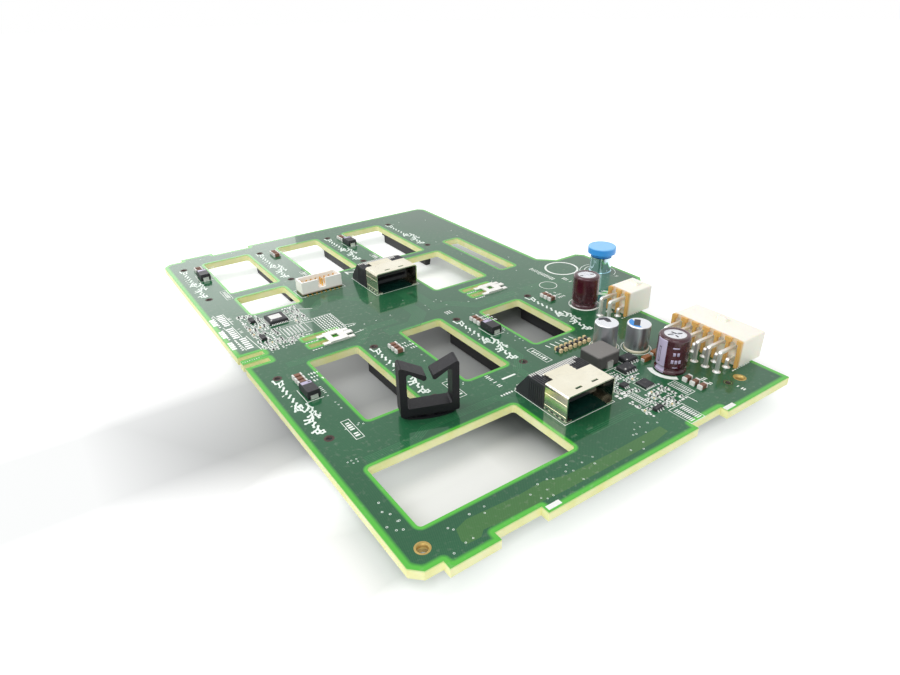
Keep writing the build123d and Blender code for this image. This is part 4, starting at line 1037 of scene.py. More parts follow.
# %% Solder pattern of the drive columns
CHAINS = [
    [(-1.9, -0.9), (-1.7, -3.0), (-0.8, -3.1), (0.6, -2.5), (0.1, -4.5), (-1.3, -5.5), (-0.8, -3.1)],
    [(-0.5, -6.7), (-1.4, -8.1)],
    [(-0.4, -8.9), (-1.2, -10.4)],
    [(-0.3, -11.7), (-1.3, -12.8)],
    [(-0.3, -14.1), (-1.2, -15.5)],
    [(-0.5, -16.9), (-1.3, -17.9), (-1.9, -19.2), (-2.6, -20.8)],
    [(-1.9, -19.2), (-1.6, -20.6), (-0.9, -21.1), (-0.8, -19.4), (0.1, -19.0), (0.0, -20.2)],
    [(0.0, -18.5), (-0.9, -18.9)],
    [(-0.8, -21.1), (-0.4, -22.5), (0.5, -22.1), (1.3, -21.6)],
    [(1.8, -19.0), (1.8, -20.5), (2.4, -21.8), (1.7, -23.2), (1.0, -23.5), (0.9, -24.8), (2.2, -24.1),
     (1.7, -25.7), (1.9, -27.6)],
    [(1.8, -20.5), (0.9, -21.7)],
    [(1.7, -25.7), (2.5, -26.7)],
    [(0.9, -24.8), (-0.6, -25.5)],
    [(0.9, -24.8), (0.4, -26.4), (-0.7, -27.0), (-2.1, -26.6)],
    [(-0.7, -27.0), (-1.5, -28.2), (-2.6, -28.3)],
    [(0.2, -27.0), (-0.4, -28.2), (-1.4, -28.1)],
    [(-0.2, -29.3), (-1.1, -30.1), (-1.3, -31.1)],
    [(-0.1, -31.3), (-0.8, -32.5), (-1.9, -33.0), (-2.7, -33.3)],
    [(-1.9, -33.0), (-1.7, -34.4), (-0.6, -33.9), (-0.8, -32.5)],
    [(-0.6, -33.9), (0.3, -33.9), (0.3, -34.9), (-0.5, -35.1), (-1.1, -34.5)],
]
PEG_PITCH = 38.3
TRACK_W, TRACK_T = 0.62, 0.07
JOINT_D = 0.86
track_paths, joint_rows, pegs = [], [], []
for x in COLUMN_X:
    for near_peg in PEG_ROWS:
        far_peg = near_peg + PEG_PITCH
        for links in CHAINS:
            points_on = [(x + dx, far_peg + dy) for dx, dy in links]
            track_paths.append((points_on, False))
            joint_rows += [(px, py, BOARD_TOP, JOINT_D, JOINT_D, TRACK_T + 0.015, 0) for px, py in points_on]
        pegs += [(x, near_peg), (x, far_peg)]


def rings_on(name, item, places, across, heights, tall, coat):
    """Rings or liners of one size at each place and height."""
    rows = [(x, y, z, across, across, tall, 0) for x, y in places for z in heights]
    copies(name, item, rows, coat, "laminate_green")


WALL_Z, WALL_H = [0.02], BOARD_TOP - 0.04
swept_lines("column_tracks", track_paths, TRACK_W, TRACK_T, BOARD_TOP, TRACK_TIN)
copies("column_joints", DISC, joint_rows, TRACK_TIN, "tinned_lead", size_spread=0.1, seed=5)
rings_on("peg_rings", EYELET, pegs, 3.0, [BOARD_TOP], MASK_T + 0.01, SEALED)
rings_on("peg_walls", LINER, pegs, 1.84, WALL_Z, WALL_H, SEALED)

# %% [markdown]
# Mounting holes have a wide plated ring, and the header pins go through tinned eyelets with a
# cone of solder round each pin. Mounting rings and eyelets lie above and below the board.

# %% Rings, eyelets and solder cones
def parts_of(name):
    """Lowest and highest corner, in mm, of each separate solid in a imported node, in a fixed order."""
    copy = merged_copy(frame["nodes"][name].data)
    left, found = set(copy.verts), []
    while left:
        reached, edge_of = set(), [left.pop()]
        while edge_of:
            vert = edge_of.pop()
            reached.add(vert)
            for edge in vert.link_edges:
                other = edge.other_vert(vert)
                if other in left:
                    left.discard(other)
                    edge_of.append(other)
        spots_of = np.array([v.co for v in reached]) / MM
        found.append((spots_of.min(axis=0), spots_of.max(axis=0)))
    copy.free()
    return sorted(found, key=lambda part: part[0].tolist())


MOUNTS, TOOLING = [(0.0, 0.0), (118.8, 0.6)], [(113.3, 1.0)]
rings_on("mounting_rings", THIN_RING, MOUNTS, 4.0, (BOARD_TOP, -MASK_T - 0.02), MASK_T + 0.02, COPPER)
rings_on("mounting_walls", LINER, MOUNTS, 3.02, WALL_Z, WALL_H, COPPER)
rings_on("tooling_ring", THIN_RING, TOOLING, 2.9, [BOARD_TOP], MASK_T + 0.01, SEALED)
rings_on("tooling_wall", LINER, TOOLING, 2.02, WALL_Z, WALL_H, SEALED)
header_pins = [p for name in ("power_header_12_pins", "power_header_4_pins") for p in parts_of(name)]
feet = [(low[0] + 0.5, (low[1] + high[1]) / 2) for low, high in header_pins]
eyelets = [(x, y, z, 2.6, 2.6, 0.1, 0) for x, y in feet for z in (BOARD_TOP, -0.1)]
cones = [(x, y, BOARD_TOP + 0.05, 2.2, 2.2, 1.0, 0) for x, y in feet]
copies("header_eyelets", EYELET, eyelets, SOLDER, "tinned_lead")
copies("header_solder", CONE, cones, SOLDER, "tinned_lead", size_spread=0.08)
print(len(header_pins), "header pins soldered")

# %% [markdown]
# Tiny passives crowd the corner beside the first port and the controller's surroundings. A
# seeded walk over a loose grid decides what stands where: a resistor, a capacitor, a bare pair
# of pads or nothing. Bodies, end caps, pads and the printed lines beside a body are separate
# pieces, since each has one finish.

# %% Tiny passives
KEEP_OUT = [
    (88.9, 12.7, 94.7, 18.4), (90.6, 22.2, 101.9, 31.1), (84.6, 27.6, 96.0, 39.0),
    (97.4, 3.7, 101.1, 11.6), (10.9, 122.2, 20.3, 131.6), (13.5, 110.4, 23.2, 118.8),
    (102.0, 2.5, 111.0, 10.8), (56.6, 14.0, 77.4, 37.8), (82.4, 7.2, 85.4, 15.0),
    (84.2, 17.1, 87.2, 19.9), (82.4, 3.4, 86.5, 5.4), (6.4, 128.7, 8.8, 132.9),
    (5.2, 113.2, 7.4, 117.2), (96.0, 11.5, 113.0, 23.0),
]
FIELDS = [
    (79.6, 2.6, 97.0, 13.0), (80.6, 13.6, 99.6, 26.4), (96.2, 10.8, 98.6, 14.0), (3.6, 120.6, 11.0, 137.4),
    (3.4, 104.6, 14.0, 120.0), (20.6, 119.0, 26.6, 137.2), (14.0, 106.6, 22.0, 110.1),
]
FIELD_STEP = (1.85, 1.3)
FIELD_MARGIN = 1.6
DARK_BELOW, BROWN_BELOW, BARE_BELOW = 0.4, 0.43, 0.9
body_rows = {"dark": [], "brown": []}
cap_rows, pad_rows, frame_lines = [], [], []


def on_board(places, margin):
    """Which of the places stand on the board, a margin away from every edge and hole."""
    spots_wanted = np.array(places, float)
    room = distance_to(spots_wanted, [outer] + windows + holes)
    return (room > margin) & on_material(spots_wanted, outer, cutouts)


def pad(x, y, wide, tall, turn=0.0, lift=0.03):
    """A row for a tinned pad that rises a little over the mask."""
    return x, y, BOARD_TOP, wide, tall, MASK_T + lift, turn


def passive(x, y, turn, kind, scale):
    """A two-ended part of 1.0 by 0.5 mm on its pads; a bare kind has only the pads."""
    c, s = math.cos(math.radians(turn)), math.sin(math.radians(turn))

    def at(along, across):
        return x + along * c - across * s, y + along * s + across * c

    for end in (-scale, scale):
        pad_rows.append(pad(*at(end * 0.52, 0.0), 0.62 * scale, 0.66 * scale, turn))
        if kind != "bare":
            size = (0.24 * scale, 0.54 * scale, 0.44 * scale)
            cap_rows.append((*at(end * 0.41, 0.0), BOARD_TOP + 0.03, *size, turn))
            frame_lines.append(([at(-0.8, end * 0.56), at(0.8, end * 0.56)], False))
    if kind != "bare":
        body_rows[kind].append((x, y, BOARD_TOP + 0.04, 0.62 * scale, 0.5 * scale, 0.4 * scale, turn))


for x0, y0, x1, y1 in FIELDS:
    y = y0 + 0.7
    while y < y1:
        x = x0 + 0.9
        while x < x1:
            px, py = x + rng.uniform(-0.2, 0.2), y + rng.uniform(-0.12, 0.12)
            free = not any(a - 0.4 < px < c + 0.4 and b - 0.4 < py < d + 0.4 for a, b, c, d in KEEP_OUT)
            free = free and on_board([(px, py)], FIELD_MARGIN)[0]
            chance = rng.random()
            if free and chance < BARE_BELOW:
                kind = "dark" if chance < DARK_BELOW else "brown" if chance < BROWN_BELOW else "bare"
                passive(px, py, 90 if rng.random() < 0.4 else 0, kind, rng.choice((0.9, 1.0, 1.1)))
            x += FIELD_STEP[0]
        y += FIELD_STEP[1]
pad_rows += [pad(27.6 + i * 1.05, 106.7 + j * 1.5, 0.5, 1.0) for i in range(7) for j in range(9)]
pad_rows += [pad(14.9 + i * 1.25, 112.2 + j * 1.05, 0.62, 0.62) for i in range(6) for j in range(6)]
for low_y, high_y, side_x in ((133.2, 143.4, -1.0), (121.6, 130.6, -1.3), (111.4, 119.4, 0.2)):
    steps_y = [low_y + i * 1.6 for i in range(int((high_y - low_y) / 1.6) + 1)]
    pad_rows += [pad(side_x, y, 2.3, 0.9) for y in steps_y]
    pad_rows += [pad(side_x - 2.6, y, 0.7, 0.7) for y in steps_y]
    pad_rows += [pad(-4.6, low_y + 2.4 + i * 1.6, 1.7, 1.2) for i in range(4)]
for x0, y0, wide in ((88.0, -4.9, 1.9), (98.5, 4.8, 0.9), (83.3, 8.3, 0.8)):
    pad_rows += [pad(x0 + side, y0 + i * 0.72, wide, 0.4) for i in range(9) for side in (0, 1.5 * wide)]
pad_rows += [pad(x, -6.95, 4.4, 1.5, lift=0.05) for x in (32.7, 102.3)]
pad_rows += [pad(x, y, 1.2, 1.0) for x in (79.8, 82.2) for y in (14.6, 16.0)]
pad_rows += [pad(x, y, 0.55, 0.55) for x in (70.5, 71.5, 72.5) for y in (92.2, 93.1, 94.0)]
dash_rows = [pad(-5.4 + i * 0.8, 102.8, 0.3, 0.3) for i in range(8)]
pad_rows += [row for row, stands in zip(dash_rows, on_board([r[:2] for r in dash_rows], 0.3)) if stands]
loose = {"turn_spread": 0.04, "seed": 8}
copies("resistor_bodies", BLOCK, body_rows["dark"], RESISTOR, "chip_black", size_spread=0.04, **loose)
copies("capacitor_bodies", BLOCK, body_rows["brown"], CERAMIC_TAN, "ceramic_brown", turn_spread=0.04, seed=9)
copies("passive_ends", BLOCK, cap_rows, SOLDER, "tinned_lead", **loose)
copies("solder_pads", BLOCK, pad_rows, SOLDER, "tinned_lead", size_spread=0.06, seed=10)
swept_lines("passive_frames", frame_lines, 0.16, INK_T, PRINT_Z, LEGEND)

# %% [markdown]
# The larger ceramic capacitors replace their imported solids: a brown fired block between two
# tinned ends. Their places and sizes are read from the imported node.

# %% Ceramic capacitors
END_SHARE = 0.17
blocks, row_blocks, tips, row_tips = [], [], [], []
for low, high in parts_of("ceramic_caps"):
    (x, y, _), (w, l, h) = (low + high) / 2, high - low
    if l > w:
        row_blocks.append((x, y, low[2] + 0.04, 0.62 * w, 0.5 * l, h - 0.3, 0))
        row_tips += [(x, y + end * 0.36 * l, low[2], 0.68 * w, 0.26 * l, h - 0.15, 0) for end in (-1, 1)]
    else:
        reach = w * (1 - END_SHARE) / 2
        blocks.append((x, y, low[2] + 0.04, (1 - 2 * END_SHARE) * w, 0.94 * l, h - 0.08, 0))
        tips += [(x + end * reach, y, low[2], END_SHARE * w, l, h, 0) for end in (-1, 1)]
ceramic = copies("ceramic_bodies", BLOCK, blocks, FINISHES["ceramic_brown"], "ceramic_brown", seed=12)
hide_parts("ceramic_caps")
copies("ceramic_row_bodies", BLOCK, row_blocks, RESISTOR, "ceramic_brown", seed=12)
copies("ceramic_row_ends", BLOCK, row_tips, CERAMIC_TAN, "tinned_lead", seed=12)
copies("ceramic_ends", BLOCK, tips, LABEL, "tinned_lead", seed=12)

# %% [markdown]
# Chips stand on bent leads or lie on a row of pads. The driver chips have four leads on each
# long side, small ones three, and the controller has a pale label and pads on all four sides.

# %% Chip leads, small chips and labels
LEAD_Z = BOARD_TOP + 0.02
SMALL_CHIPS = [(7.6, 130.8, 1.8, 3.6), (6.3, 115.2, 1.7, 3.3), (85.7, 18.5, 2.4, 2.0), (84.4, 4.4, 3.5, 1.4)]
lead_rows = []


def lead_pair(x, low_y, high_y, size):
    """Two leads that leave a chip towards +Y and -Y."""
    lead_rows.extend([(x, high_y, LEAD_Z, *size, 0), (x, low_y, LEAD_Z, *size, 180)])


for x, y in ((98.8, 28.6), (93.8, 24.8)):
    for i in range(4):
        lead_pair(x + (i - 1.5) * 1.2, y - 2.0, y + 2.0, (0.45, 0.9, 1.1))
for x, y, length, width in SMALL_CHIPS:
    for i in (-1, 0, 1):
        if length > width:
            lead_pair(x + i * 0.3 * length, y - width / 2, y + width / 2, (0.35, 0.7, 0.8))
        else:
            for side, turn in ((1, -90), (-1, 90)):
                lead_x = x + side * length / 2
                lead_rows.append((lead_x, y + i * 0.3 * width, LEAD_Z, 0.35, 0.7, 0.8, turn))
for i in range(10):
    along = 12.75 + i * 0.63
    lead_pair(along, 123.3, 130.3, (0.3, 0.7, 0.5))
    lead_rows += [(x, along + 111.2, LEAD_Z, 0.3, 0.7, 0.5, turn) for x, turn in ((12.1, 90), (19.1, -90))]
for i in range(6):
    lead_pair(90.3 + i * 0.6, 13.5, 17.5, (0.28, 0.5, 0.4))
chip_rows = [(x, y, BOARD_TOP + 0.08, l, w, 0.95, 0) for x, y, l, w in SMALL_CHIPS]
amber_rows = [(x, y, BOARD_TOP, 3.3, 1.8, 1.6, 0) for x, y in ((103.9, 25.1), (109.4, 25.9))]
amber_feet = [(x + side * 1.72, y) for x, y, *_ in amber_rows for side in (-1, 1)]
amber_ends = [(x, y, BOARD_TOP, 0.5, 1.3, 1.0, 0) for x, y in amber_feet]
label_rows = [(15.4, 127.0, BOARD_TOP + 1.4, 4.4, 3.6, 0.03, 0)]
DOTS = [(13.0, 124.4, 1.4, 0.7), (97.0, 27.4, 1.5, 0.6), (92.0, 23.6, 1.5, 0.6)]
dot_rows = [(x, y, BOARD_TOP + z, wide, wide, 0.02, 0) for x, y, z, wide in DOTS]
copies("chip_leads", LEAD, lead_rows, SOLDER, "tinned_lead")
copies("small_chips", BLOCK, chip_rows, FINISHES["chip_black"], "chip_black")
copies("tantalum_blocks", BLOCK, amber_rows, AMBER, "ceramic_brown")
copies("tantalum_ends", BLOCK, amber_ends, SOLDER, "tinned_lead")
copies("controller_label", BLOCK, label_rows, LABEL, "header_white")
copies("chip_dots", DOME, dot_rows, LABEL, "header_white")

# %% [markdown]
# Vias are pin-prick plated holes. They lie in loose groups: a strip along the near edge, round
# the first mounting hole, a few rows beside the windows and between the two rows of drives.
# A few more lie at random between the groups, and none stands over an edge.

# %% Vias
VIAS = [
    (-1.8, 14.9), (-0.6, 13.2), (-0.3, 10.2), (-0.6, 7.2), (-2.0, 7.9), (-3.3, 10.0), (7.9, 1.6),
    (8.7, 0.5), (8.7, -4.3), (4.8, -5.3), (-0.2, 36.0), (0.9, 36.1), (0.9, 34.8), (2.3, 35.9),
    (2.2, 34.8), (10.3, 49.8), (11.2, 48.8), (11.8, 49.5), (9.7, 49.3), (9.5, 63.4), (9.7, 61.6),
    (9.6, 59.6), (9.2, 68.0), (10.8, -4.2), (14.5, 2.3), (18.9, 2.3), (17.7, 0.5), (30.5, -1.1),
    (34.4, 0.7), (37.5, 0.7), (38.9, -0.1), (35.0, -2.1), (31.8, -3.5), (33.0, -4.5), (34.9, -4.5),
    (45.3, 1.9), (43.4, 0.1), (45.2, -0.8), (49.3, 0.2), (45.0, -4.6), (53.1, 0.2), (51.7, -2.0),
    (63.4, -3.8), (66.6, -5.4), (68.8, -3.4), (69.0, 0.3), (70.1, 0.1), (71.2, 1.8), (73.4, 1.7),
    (73.7, 3.8), (72.8, -0.9), (76.7, 1.7), (78.9, 0.2), (79.8, 63.3), (79.8, 61.0), (79.9, 59.4),
    (77.1, 54.8), (81.1, 71.1), (79.5, 69.0), (63.1, 113.0), (66.8, 99.8), (74.9, 103.2), (72.4, 104.7),
    (67.8, 103.7), (40.9, 103.8), (37.5, 100.5), (45.9, 103.8), (1.2, 107.3), (3.1, 105.4), (5.5, 103.6),
    (-0.5, 97.9), (-1.8, 98.3), (10.4, 103.7),
]
LOOSE_VIAS = 90
VIA_MARGIN, VIA_D = 1.7, 0.55
field = VIAS + [(x + 35.1, y) for x, y in VIAS if 45 < y < 70 and x < 13]
field += [(rng.uniform(-2, 128), rng.uniform(4, 208)) for _ in range(LOOSE_VIAS)]
field = [place for place, stands in zip(field, on_board(field, VIA_MARGIN)) if stands]
via_rows = [(x, y, BOARD_TOP, VIA_D, VIA_D, MASK_T + 0.02, 0) for x, y in field]
copies("vias", EYELET, via_rows, TRACK_TIN, "tinned_lead", size_spread=0.15, seed=14)

# %% [markdown]
# Under the mask run traces. They show as slightly lighter lines in bundles that turn by 45
# degrees. A bundle is one path, repeated side by side: how many lines, their pitch, the path.

# %% Traces under the mask
BUNDLES = [
    (9, 0.62, [(44.0, 93.0), (56.0, 93.0), (62.0, 99.0), (62.0, 108.0), (67.0, 113.0), (67.0, 121.0)]),
    (6, 0.62, [(6.0, 92.5), (33.0, 92.5), (40.0, 99.5), (52.0, 99.5)]),
    (7, 0.62, [(104.0, 92.0), (84.0, 92.0), (76.0, 100.0), (70.0, 100.0), (70.0, 118.0)]),
    (6, 0.6, [(24.0, 127.0), (31.0, 127.0), (36.0, 132.0), (42.0, 132.0), (52.0, 122.0), (56.0, 122.0)]),
    (5, 0.6, [(4.0, 34.0), (20.0, 34.0), (24.0, 36.5), (50.0, 36.5), (56.0, 30.5)]),
    (5, 0.6, [(66.0, 40.0), (66.0, 46.0), (72.0, 52.0), (72.0, 80.0)]),
    (6, 0.7, [(108.0, 92.0), (124.0, 92.0), (131.0, 85.0), (131.0, 76.0)]),
    (4, 0.7, [(60.0, 8.0), (78.0, 8.0), (82.0, 4.0), (84.0, 4.0)]),
]
TRACE_W, TRACE_T = 0.3, 0.006


def bundle(count, pitch, points_on):
    """Parallel copies of a path, each moved sideways by its own mitred offset."""
    line = np.array(points_on, float)
    ways = np.diff(line, axis=0)
    ways /= np.hypot(*ways.T)[:, None]
    normals = np.stack([-ways[:, 1], ways[:, 0]], axis=1)
    joints = np.vstack([normals[:1], normals[:-1] + normals[1:], normals[-1:]])
    base = np.vstack([normals[:1], normals[1:], normals[-1:]])
    joints /= np.einsum("ij,ij->i", joints, base)[:, None]
    return [((line + joints * pitch * (i - (count - 1) / 2)).tolist(), False) for i in range(count)]


trace_paths = [path_on for row in BUNDLES for path_on in bundle(*row)]
swept_lines("trace_bundles", trace_paths, TRACE_W, TRACE_T, PRINT_Z, TRACE)

# %% [markdown]
# A broad strip of bare-looking copper runs behind the near edge. It is a flat prism under the
# mask tone, cut back where the edge steps in.

# %% The olive strip
STRIP = [
    (9.2, 0.2), (8.1, -3.3), (8.6, -4.8), (12.5, -5.0), (14.3, -3.5), (17.6, -3.9), (31.4, -4.5),
    (37.1, -4.9), (43.4, -5.0), (71.5, -5.2), (78.1, -4.2), (78.1, -1.3), (57.7, -1.5),
    (42.5, -1.0), (36.2, 0.8), (28.4, 0.5), (12.9, 1.4),
]


def film(name, outline, z, thick, coat):
    """A thin piece over a polygon at a height, in mm."""
    shape = prism([(x * MM, y * MM) for x, y in outline], z * MM, (z + thick) * MM)
    return new_piece(name, mesh_of(name, shape, coat))


strip = film("copper_strip", STRIP, PRINT_Z, TRACE_T, OLIVE)
border = strip.data.attributes.new("border", "FLOAT", "POINT")
border.data.foreach_set("value", np.ones(len(strip.data.vertices), np.float32))

# %% [markdown]
# The tall capacitors wear a shrunk sleeve with a lavender stripe down the negative side. The
# stripe follows the sleeve's own section, crimp and shoulder, so it is bent over the same
# profile and stands a hair proud. On the bare tops lie a few dark strokes, painted reflections
# of dark things round the cap, which also stand for the scores of the vent.

# %% Sleeve stripes and marks
TALL_R, TALL_H = 5.0, 12.6
SHOULDER = 0.9
CRIMP_LOW, CRIMP_HALF, CRIMP_DEPTH = 1.7, 0.9, 0.5
STRIPE_TURNS = [10, 148]
SLEEVE_BARS = [
    (66, 24, 9.5, 0.5), (70, 9, 7.0, 1.2), (84, 9, 7.0, 1.2), (66, 9, 4.3, 1.3), (79, 9, 4.3, 1.3),
    (92, 9, 4.3, 1.3), (74, 18, 2.8, 0.25),
]
TOP_STROKES = [
    [(-2.7, 0.9, -1.6, 0.5), (1.3, -0.5, 2.5, -1.2)],
    [(-2.2, 1.2, -0.5, 0.4), (0.2, 1.7, 0.4, -0.1), (0.5, -0.4, 2.1, -0.9), (-0.6, -0.6, -1.0, -1.9)],
]


def sleeve_radius(z):
    """Radius of the sleeve at a height above the board."""
    if z > TALL_H - SHOULDER:
        return TALL_R - SHOULDER + math.sqrt(max(0.0, SHOULDER**2 - (z - TALL_H + SHOULDER) ** 2))
    if abs(z - CRIMP_LOW) < CRIMP_HALF:
        return TALL_R - CRIMP_DEPTH * math.cos((z - CRIMP_LOW) / CRIMP_HALF * math.pi / 2)
    return TALL_R


def wrapped(name, centre, first, last, low_z, high_z, lift, coat):
    """A thin closed patch over part of a sleeve, between two angles and two heights."""
    rows_up = max(2, int((high_z - low_z) / 0.35))
    rows_round = max(2, int(abs(last - first) / 5))
    angles = [math.radians(first + (last - first) * i / rows_round) for i in range(rows_round + 1)]
    layers_of = []
    shape = bmesh.new()
    for out in (0.0, lift):
        grid = []
        for j in range(rows_up + 1):
            z = low_z + (high_z - low_z) * j / rows_up
            radius = sleeve_radius(z) + out
            ring = [(centre[0] + radius * math.cos(a), centre[1] + radius * math.sin(a)) for a in angles]
            grid.append([shape.verts.new((x * MM, y * MM, (BOARD_TOP + z) * MM)) for x, y in ring])
        layers_of.append(grid)
    for grid, flip in zip(layers_of, (True, False)):
        for j in range(rows_up):
            for i in range(rows_round):
                quad = (grid[j][i], grid[j][i + 1], grid[j + 1][i + 1], grid[j + 1][i])
                shape.faces.new(quad[::-1] if flip else quad)
    rim_walk = [(0, i) for i in range(rows_round)] + [(j, rows_round) for j in range(rows_up)]
    rim_walk += [(rows_up, i) for i in range(rows_round, 0, -1)] + [(j, 0) for j in range(rows_up, 0, -1)]
    inner, outside = layers_of
    for (j0, i0), (j1, i1) in zip(rim_walk, rim_walk[1:] + rim_walk[:1]):
        shape.faces.new((inner[j0][i0], inner[j1][i1], outside[j1][i1], outside[j0][i0]))
    bmesh.ops.recalc_face_normals(shape, faces=shape.faces)
    return new_piece(name, mesh_of(name, shape, coat, smooth=True))


for number, (centre, turn) in enumerate(zip(TALL_CAPS, STRIPE_TURNS), 1):
    wrapped(f"sleeve_stripe_{number}", centre, turn, turn + 45, 0.3, 12.0, 0.03, LAVENDER)
    wrapped(f"stripe_mark_{number}", centre, turn + 14, turn + 23, 3.8, 9.3, 0.05, PRINT_DARK)
    wrapped(f"stripe_mark_inner_{number}", centre, turn + 16, turn + 21, 4.2, 8.9, 0.07, LAVENDER)
    for row, (start, wide, z, tall) in enumerate(SLEEVE_BARS):
        first = turn + start
        wrapped(f"sleeve_bar_{number}_{row}", centre, first, first + wide, z, z + tall, 0.03, LAVENDER)
# painted reflection: dark strokes on the bare tops stand for dark surroundings mirrored there, and in part
# for the vent's scores
strokes = [
    ([(x + a, y + b), (x + c, y + d)], False)
    for (x, y), marks in zip(TALL_CAPS, TOP_STROKES)
    for a, b, c, d in marks
]
swept_lines("vent_strokes", strokes, 0.55, 0.02, BOARD_TOP + TALL_H - 0.2, PRINT_DARK)
print("marks on", len(TALL_CAPS), "sleeves")

# %% [markdown]
# The bare cans carry their polarity as a printed segment on top: a dark crescent on one, a
# blue segment with a dark block on the other. The moulded capacitors have a pale end band.

# %% Printed tops
CAN_TOP = BOARD_TOP + 9.6
PRINT_R = 3.4
INK_FILM = 0.02
CRESCENT = [
    (-0.92, 0.38), (-0.75, 0.15), (-0.33, 0.35), (0.06, -0.07), (0.44, 0.05), (0.25, 0.62), (-0.1, 0.9),
    (-0.45, 0.87), (-0.75, 0.64),
]
DARK_BLOCK = [(-0.5, -0.7), (0.1, -0.7), (0.1, 0.65), (-0.5, 0.65)]
BAND_DOTS = [(-0.8, -0.4), (0.4, -0.4), (-0.3, -1.6)]


def turned_outline(centre, turn, outline):
    """A polygon in units of the print radius, turned by degrees and put on a can."""
    c, s = math.cos(math.radians(turn)), math.sin(math.radians(turn))
    x, y = centre
    return [(x + PRINT_R * (u * c - v * s), y + PRINT_R * (u * s + v * c)) for u, v in outline]


segment = [(math.cos(a), math.sin(a)) for a in np.radians(np.linspace(161 - 73, 161 + 73, 20))]
PRINTS = [
    ("can_print_1", CAN_CAPS[0], -50, CRESCENT, CAN_TOP, PRINT_DARK),
    ("can_print_2", CAN_CAPS[1], 0, segment, CAN_TOP, PRINT_BLUE),
    ("can_print_3", CAN_CAPS[1], -53, DARK_BLOCK, CAN_TOP + INK_FILM, PRINT_DARK),
]
for name, centre, turn, outline, z, coat in PRINTS:
    film(name, turned_outline(centre, turn, outline), z, INK_FILM, coat)
bands = [(x, y + 2.2, BOARD_TOP + 2.8, 3.3, 1.5, 0.03, 0) for x, y in MOULDED_CAPS]
copies("polarity_bands", BLOCK, bands, LAVENDER, "header_white")
marks_on = [(x + 0.9, y + 2.2, BOARD_TOP + 2.82, 0.8, 0.5, 0.03, 0) for x, y in MOULDED_CAPS]
for x, y in MOULDED_CAPS:
    marks_on += [(x + dx, y + dy, BOARD_TOP + 2.79, 0.7, 0.3, 0.03, 0) for dx, dy in BAND_DOTS]
copies("moulded_marks", BLOCK, marks_on, RESISTOR, "moulded_black")

# %% [markdown]
# The ports carry more leads than the middle group: fine ones run down the slope on both sides
# of it. Their black block is moulded as a comb, with thin ribs along its top and its flanks.
# The shell's flanks have two folded ledges and small dark slots at the foot.

# %% Port details
SHELL_D, SHELL_HALF = 9.4, 9.5
BLOCK_BACK, BLOCK_HALF = 21.4, 9.8
BLOCK_TOP, SLOPE_RUN, BACK_Z = BOARD_TOP + 7.9, 4.9, BOARD_TOP + 1.6
MIDDLE_LEADS_HALF, LEAD_PITCH = 6.8, 0.8
LEAD_W, LEAD_T = 0.34, 0.16


def lead_strip(shape, x, front):
    """One flat lead over the slope of a port block and down to its foot."""
    back = front + BLOCK_BACK
    drop = back + 0.35
    upper = [(back - SLOPE_RUN - 1.2, BLOCK_TOP), (back - SLOPE_RUN, BLOCK_TOP), (back, BACK_Z)]
    lower = [(y + 0.05, z + LEAD_T) for y, z in upper]
    upper += [(drop, BACK_Z), (drop, LEAD_Z), (back + 1.2, LEAD_Z)]
    lower += [(drop + LEAD_T, z + LEAD_T) for z in (BACK_Z, LEAD_Z)] + [(back + 1.2, LEAD_Z + LEAD_T)]
    corners_of = []
    for place_x, line in [(x + side * LEAD_W, line) for side in (-0.5, 0.5) for line in (upper, lower)]:
        corners_of.append([shape.verts.new((place_x * MM, y * MM, z * MM)) for y, z in line])
    left_in, left_out, right_in, right_out = corners_of
    ring = (left_in, left_out, right_out, right_in)
    for i in range(len(upper) - 1):
        for a, b in zip(ring, ring[1:] + ring[:1]):
            shape.faces.new((a[i], b[i], b[i + 1], a[i + 1]))
    shape.faces.new([line[0] for line in reversed(ring)])
    shape.faces.new([line[-1] for line in ring])


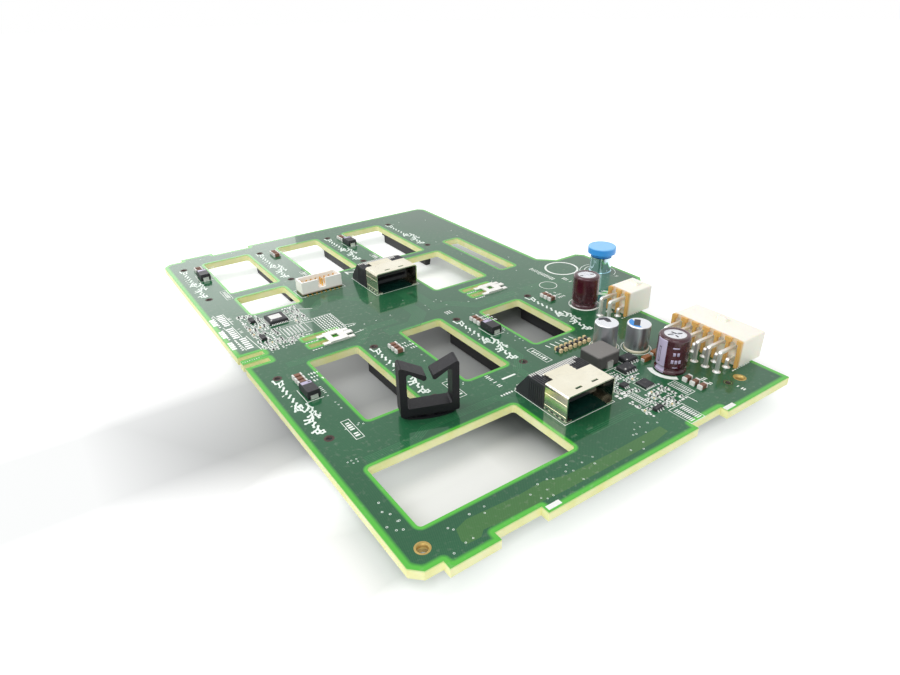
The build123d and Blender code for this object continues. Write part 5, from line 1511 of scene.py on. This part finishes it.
shape = bmesh.new()
side_leads = [sign * (MIDDLE_LEADS_HALF + LEAD_PITCH * i) for sign in (-1, 1) for i in range(1, 4)]
for front in PORT_FRONTS:
    for offset in side_leads:
        lead_strip(shape, PORT_X + offset, front)
bmesh.ops.recalc_face_normals(shape, faces=shape.faces)
new_piece("port_side_leads", mesh_of("port_side_leads", shape, FINISHES["tinned_lead"]))
ribs, ledges, foot_slots, painted_shade_sheets = [], [], [], []
for front in PORT_FRONTS:
    top_run = (front + SHELL_D + 0.6, front + BLOCK_BACK - SLOPE_RUN - 1.4)
    middle_y, run = sum(top_run) / 2, top_run[1] - top_run[0]
    shell_middle = front + SHELL_D / 2
    rib_places = [PORT_X + side * (5.7 + LEAD_PITCH * i) for side in (-1, 1) for i in range(6)]
    ribs += [(x, middle_y, BLOCK_TOP, 0.36, run, 0.2, 0) for x in rib_places]
    for side in (-1, 1):
        wall_x, flank_x = PORT_X + side * SHELL_HALF, PORT_X + side * BLOCK_HALF
        for i in range(1, 8):
            ribs.append((flank_x, front + SHELL_D + 0.9 * i, BOARD_TOP + 0.5, 0.24, 0.4, 6.6, 0))
        ledges += [(wall_x, shell_middle, BOARD_TOP + z, 0.2, SHELL_D - 0.3, 0.22, 0) for z in (1.7, 5.6)]
        foot_slots += [(wall_x, front + 1.4 + 2.2 * i, BOARD_TOP + 0.5, 0.1, 1.1, 0.45, 0) for i in range(4)]
    # painted shade: a dark sheet on the mask inside each shell stands for the shade there
    painted_shade_sheets.append((PORT_X, shell_middle, BOARD_TOP + MASK_T, 2 * SHELL_HALF - 0.8, SHELL_D - 0.4, 0.03, 0))
copies("port_block_ribs", BLOCK, ribs, FINISHES["insulator_black"], "insulator_black")
copies("shell_ledges", BLOCK, ledges, FINISHES["port_sheet"], "port_sheet")
copies("shell_foot_slots", BLOCK, foot_slots, PRINT_DARK, "insulator_black")
copies("port_floors", BLOCK, painted_shade_sheets, PORT_PAINTED_SHADE, "insulator_black")

# %% [markdown]
# Underneath, each receptacle is soldered by a row of flat tails along both of its long sides.

# %% Receptacle tails
TAILS, TAIL_PITCH = 27, 1.27
tails = []
for x in COLUMN_X:
    for near_peg in PEG_ROWS:
        for i in range(TAILS):
            y = near_peg + PEG_PITCH / 2 + (i - (TAILS - 1) / 2) * TAIL_PITCH
            tails += [(x + side * 3.1, y, -0.24, 1.4, 0.55, 0.22, 0) for side in (-1, 1)]
copies("receptacle_tails", BLOCK, tails, SOLDER, "tinned_lead")

# %% [markdown]
# Inside the release pin's barrel a coil spring sits between the collar and the roof. When the
# pin is pulled up the collar presses it together. The imported spring can't do that; it is
# hidden, and a copy of its mesh with mesh data of its own stands in for it.

# %% A copy of the spring
packed_coil = frame["nodes"]["release_spring"].data
coil_mesh = mesh_of("release_coil", merged_copy(packed_coil), FINISHES["spring_steel"])
coil = new_piece("release_coil", coil_mesh)
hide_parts("release_spring")
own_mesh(coil)

# %% [markdown]
# The items have done their work and go, so that only finished pieces are left.

# %% Remove the items
for made_item in ITEMS:
    bpy.data.objects.remove(made_item)
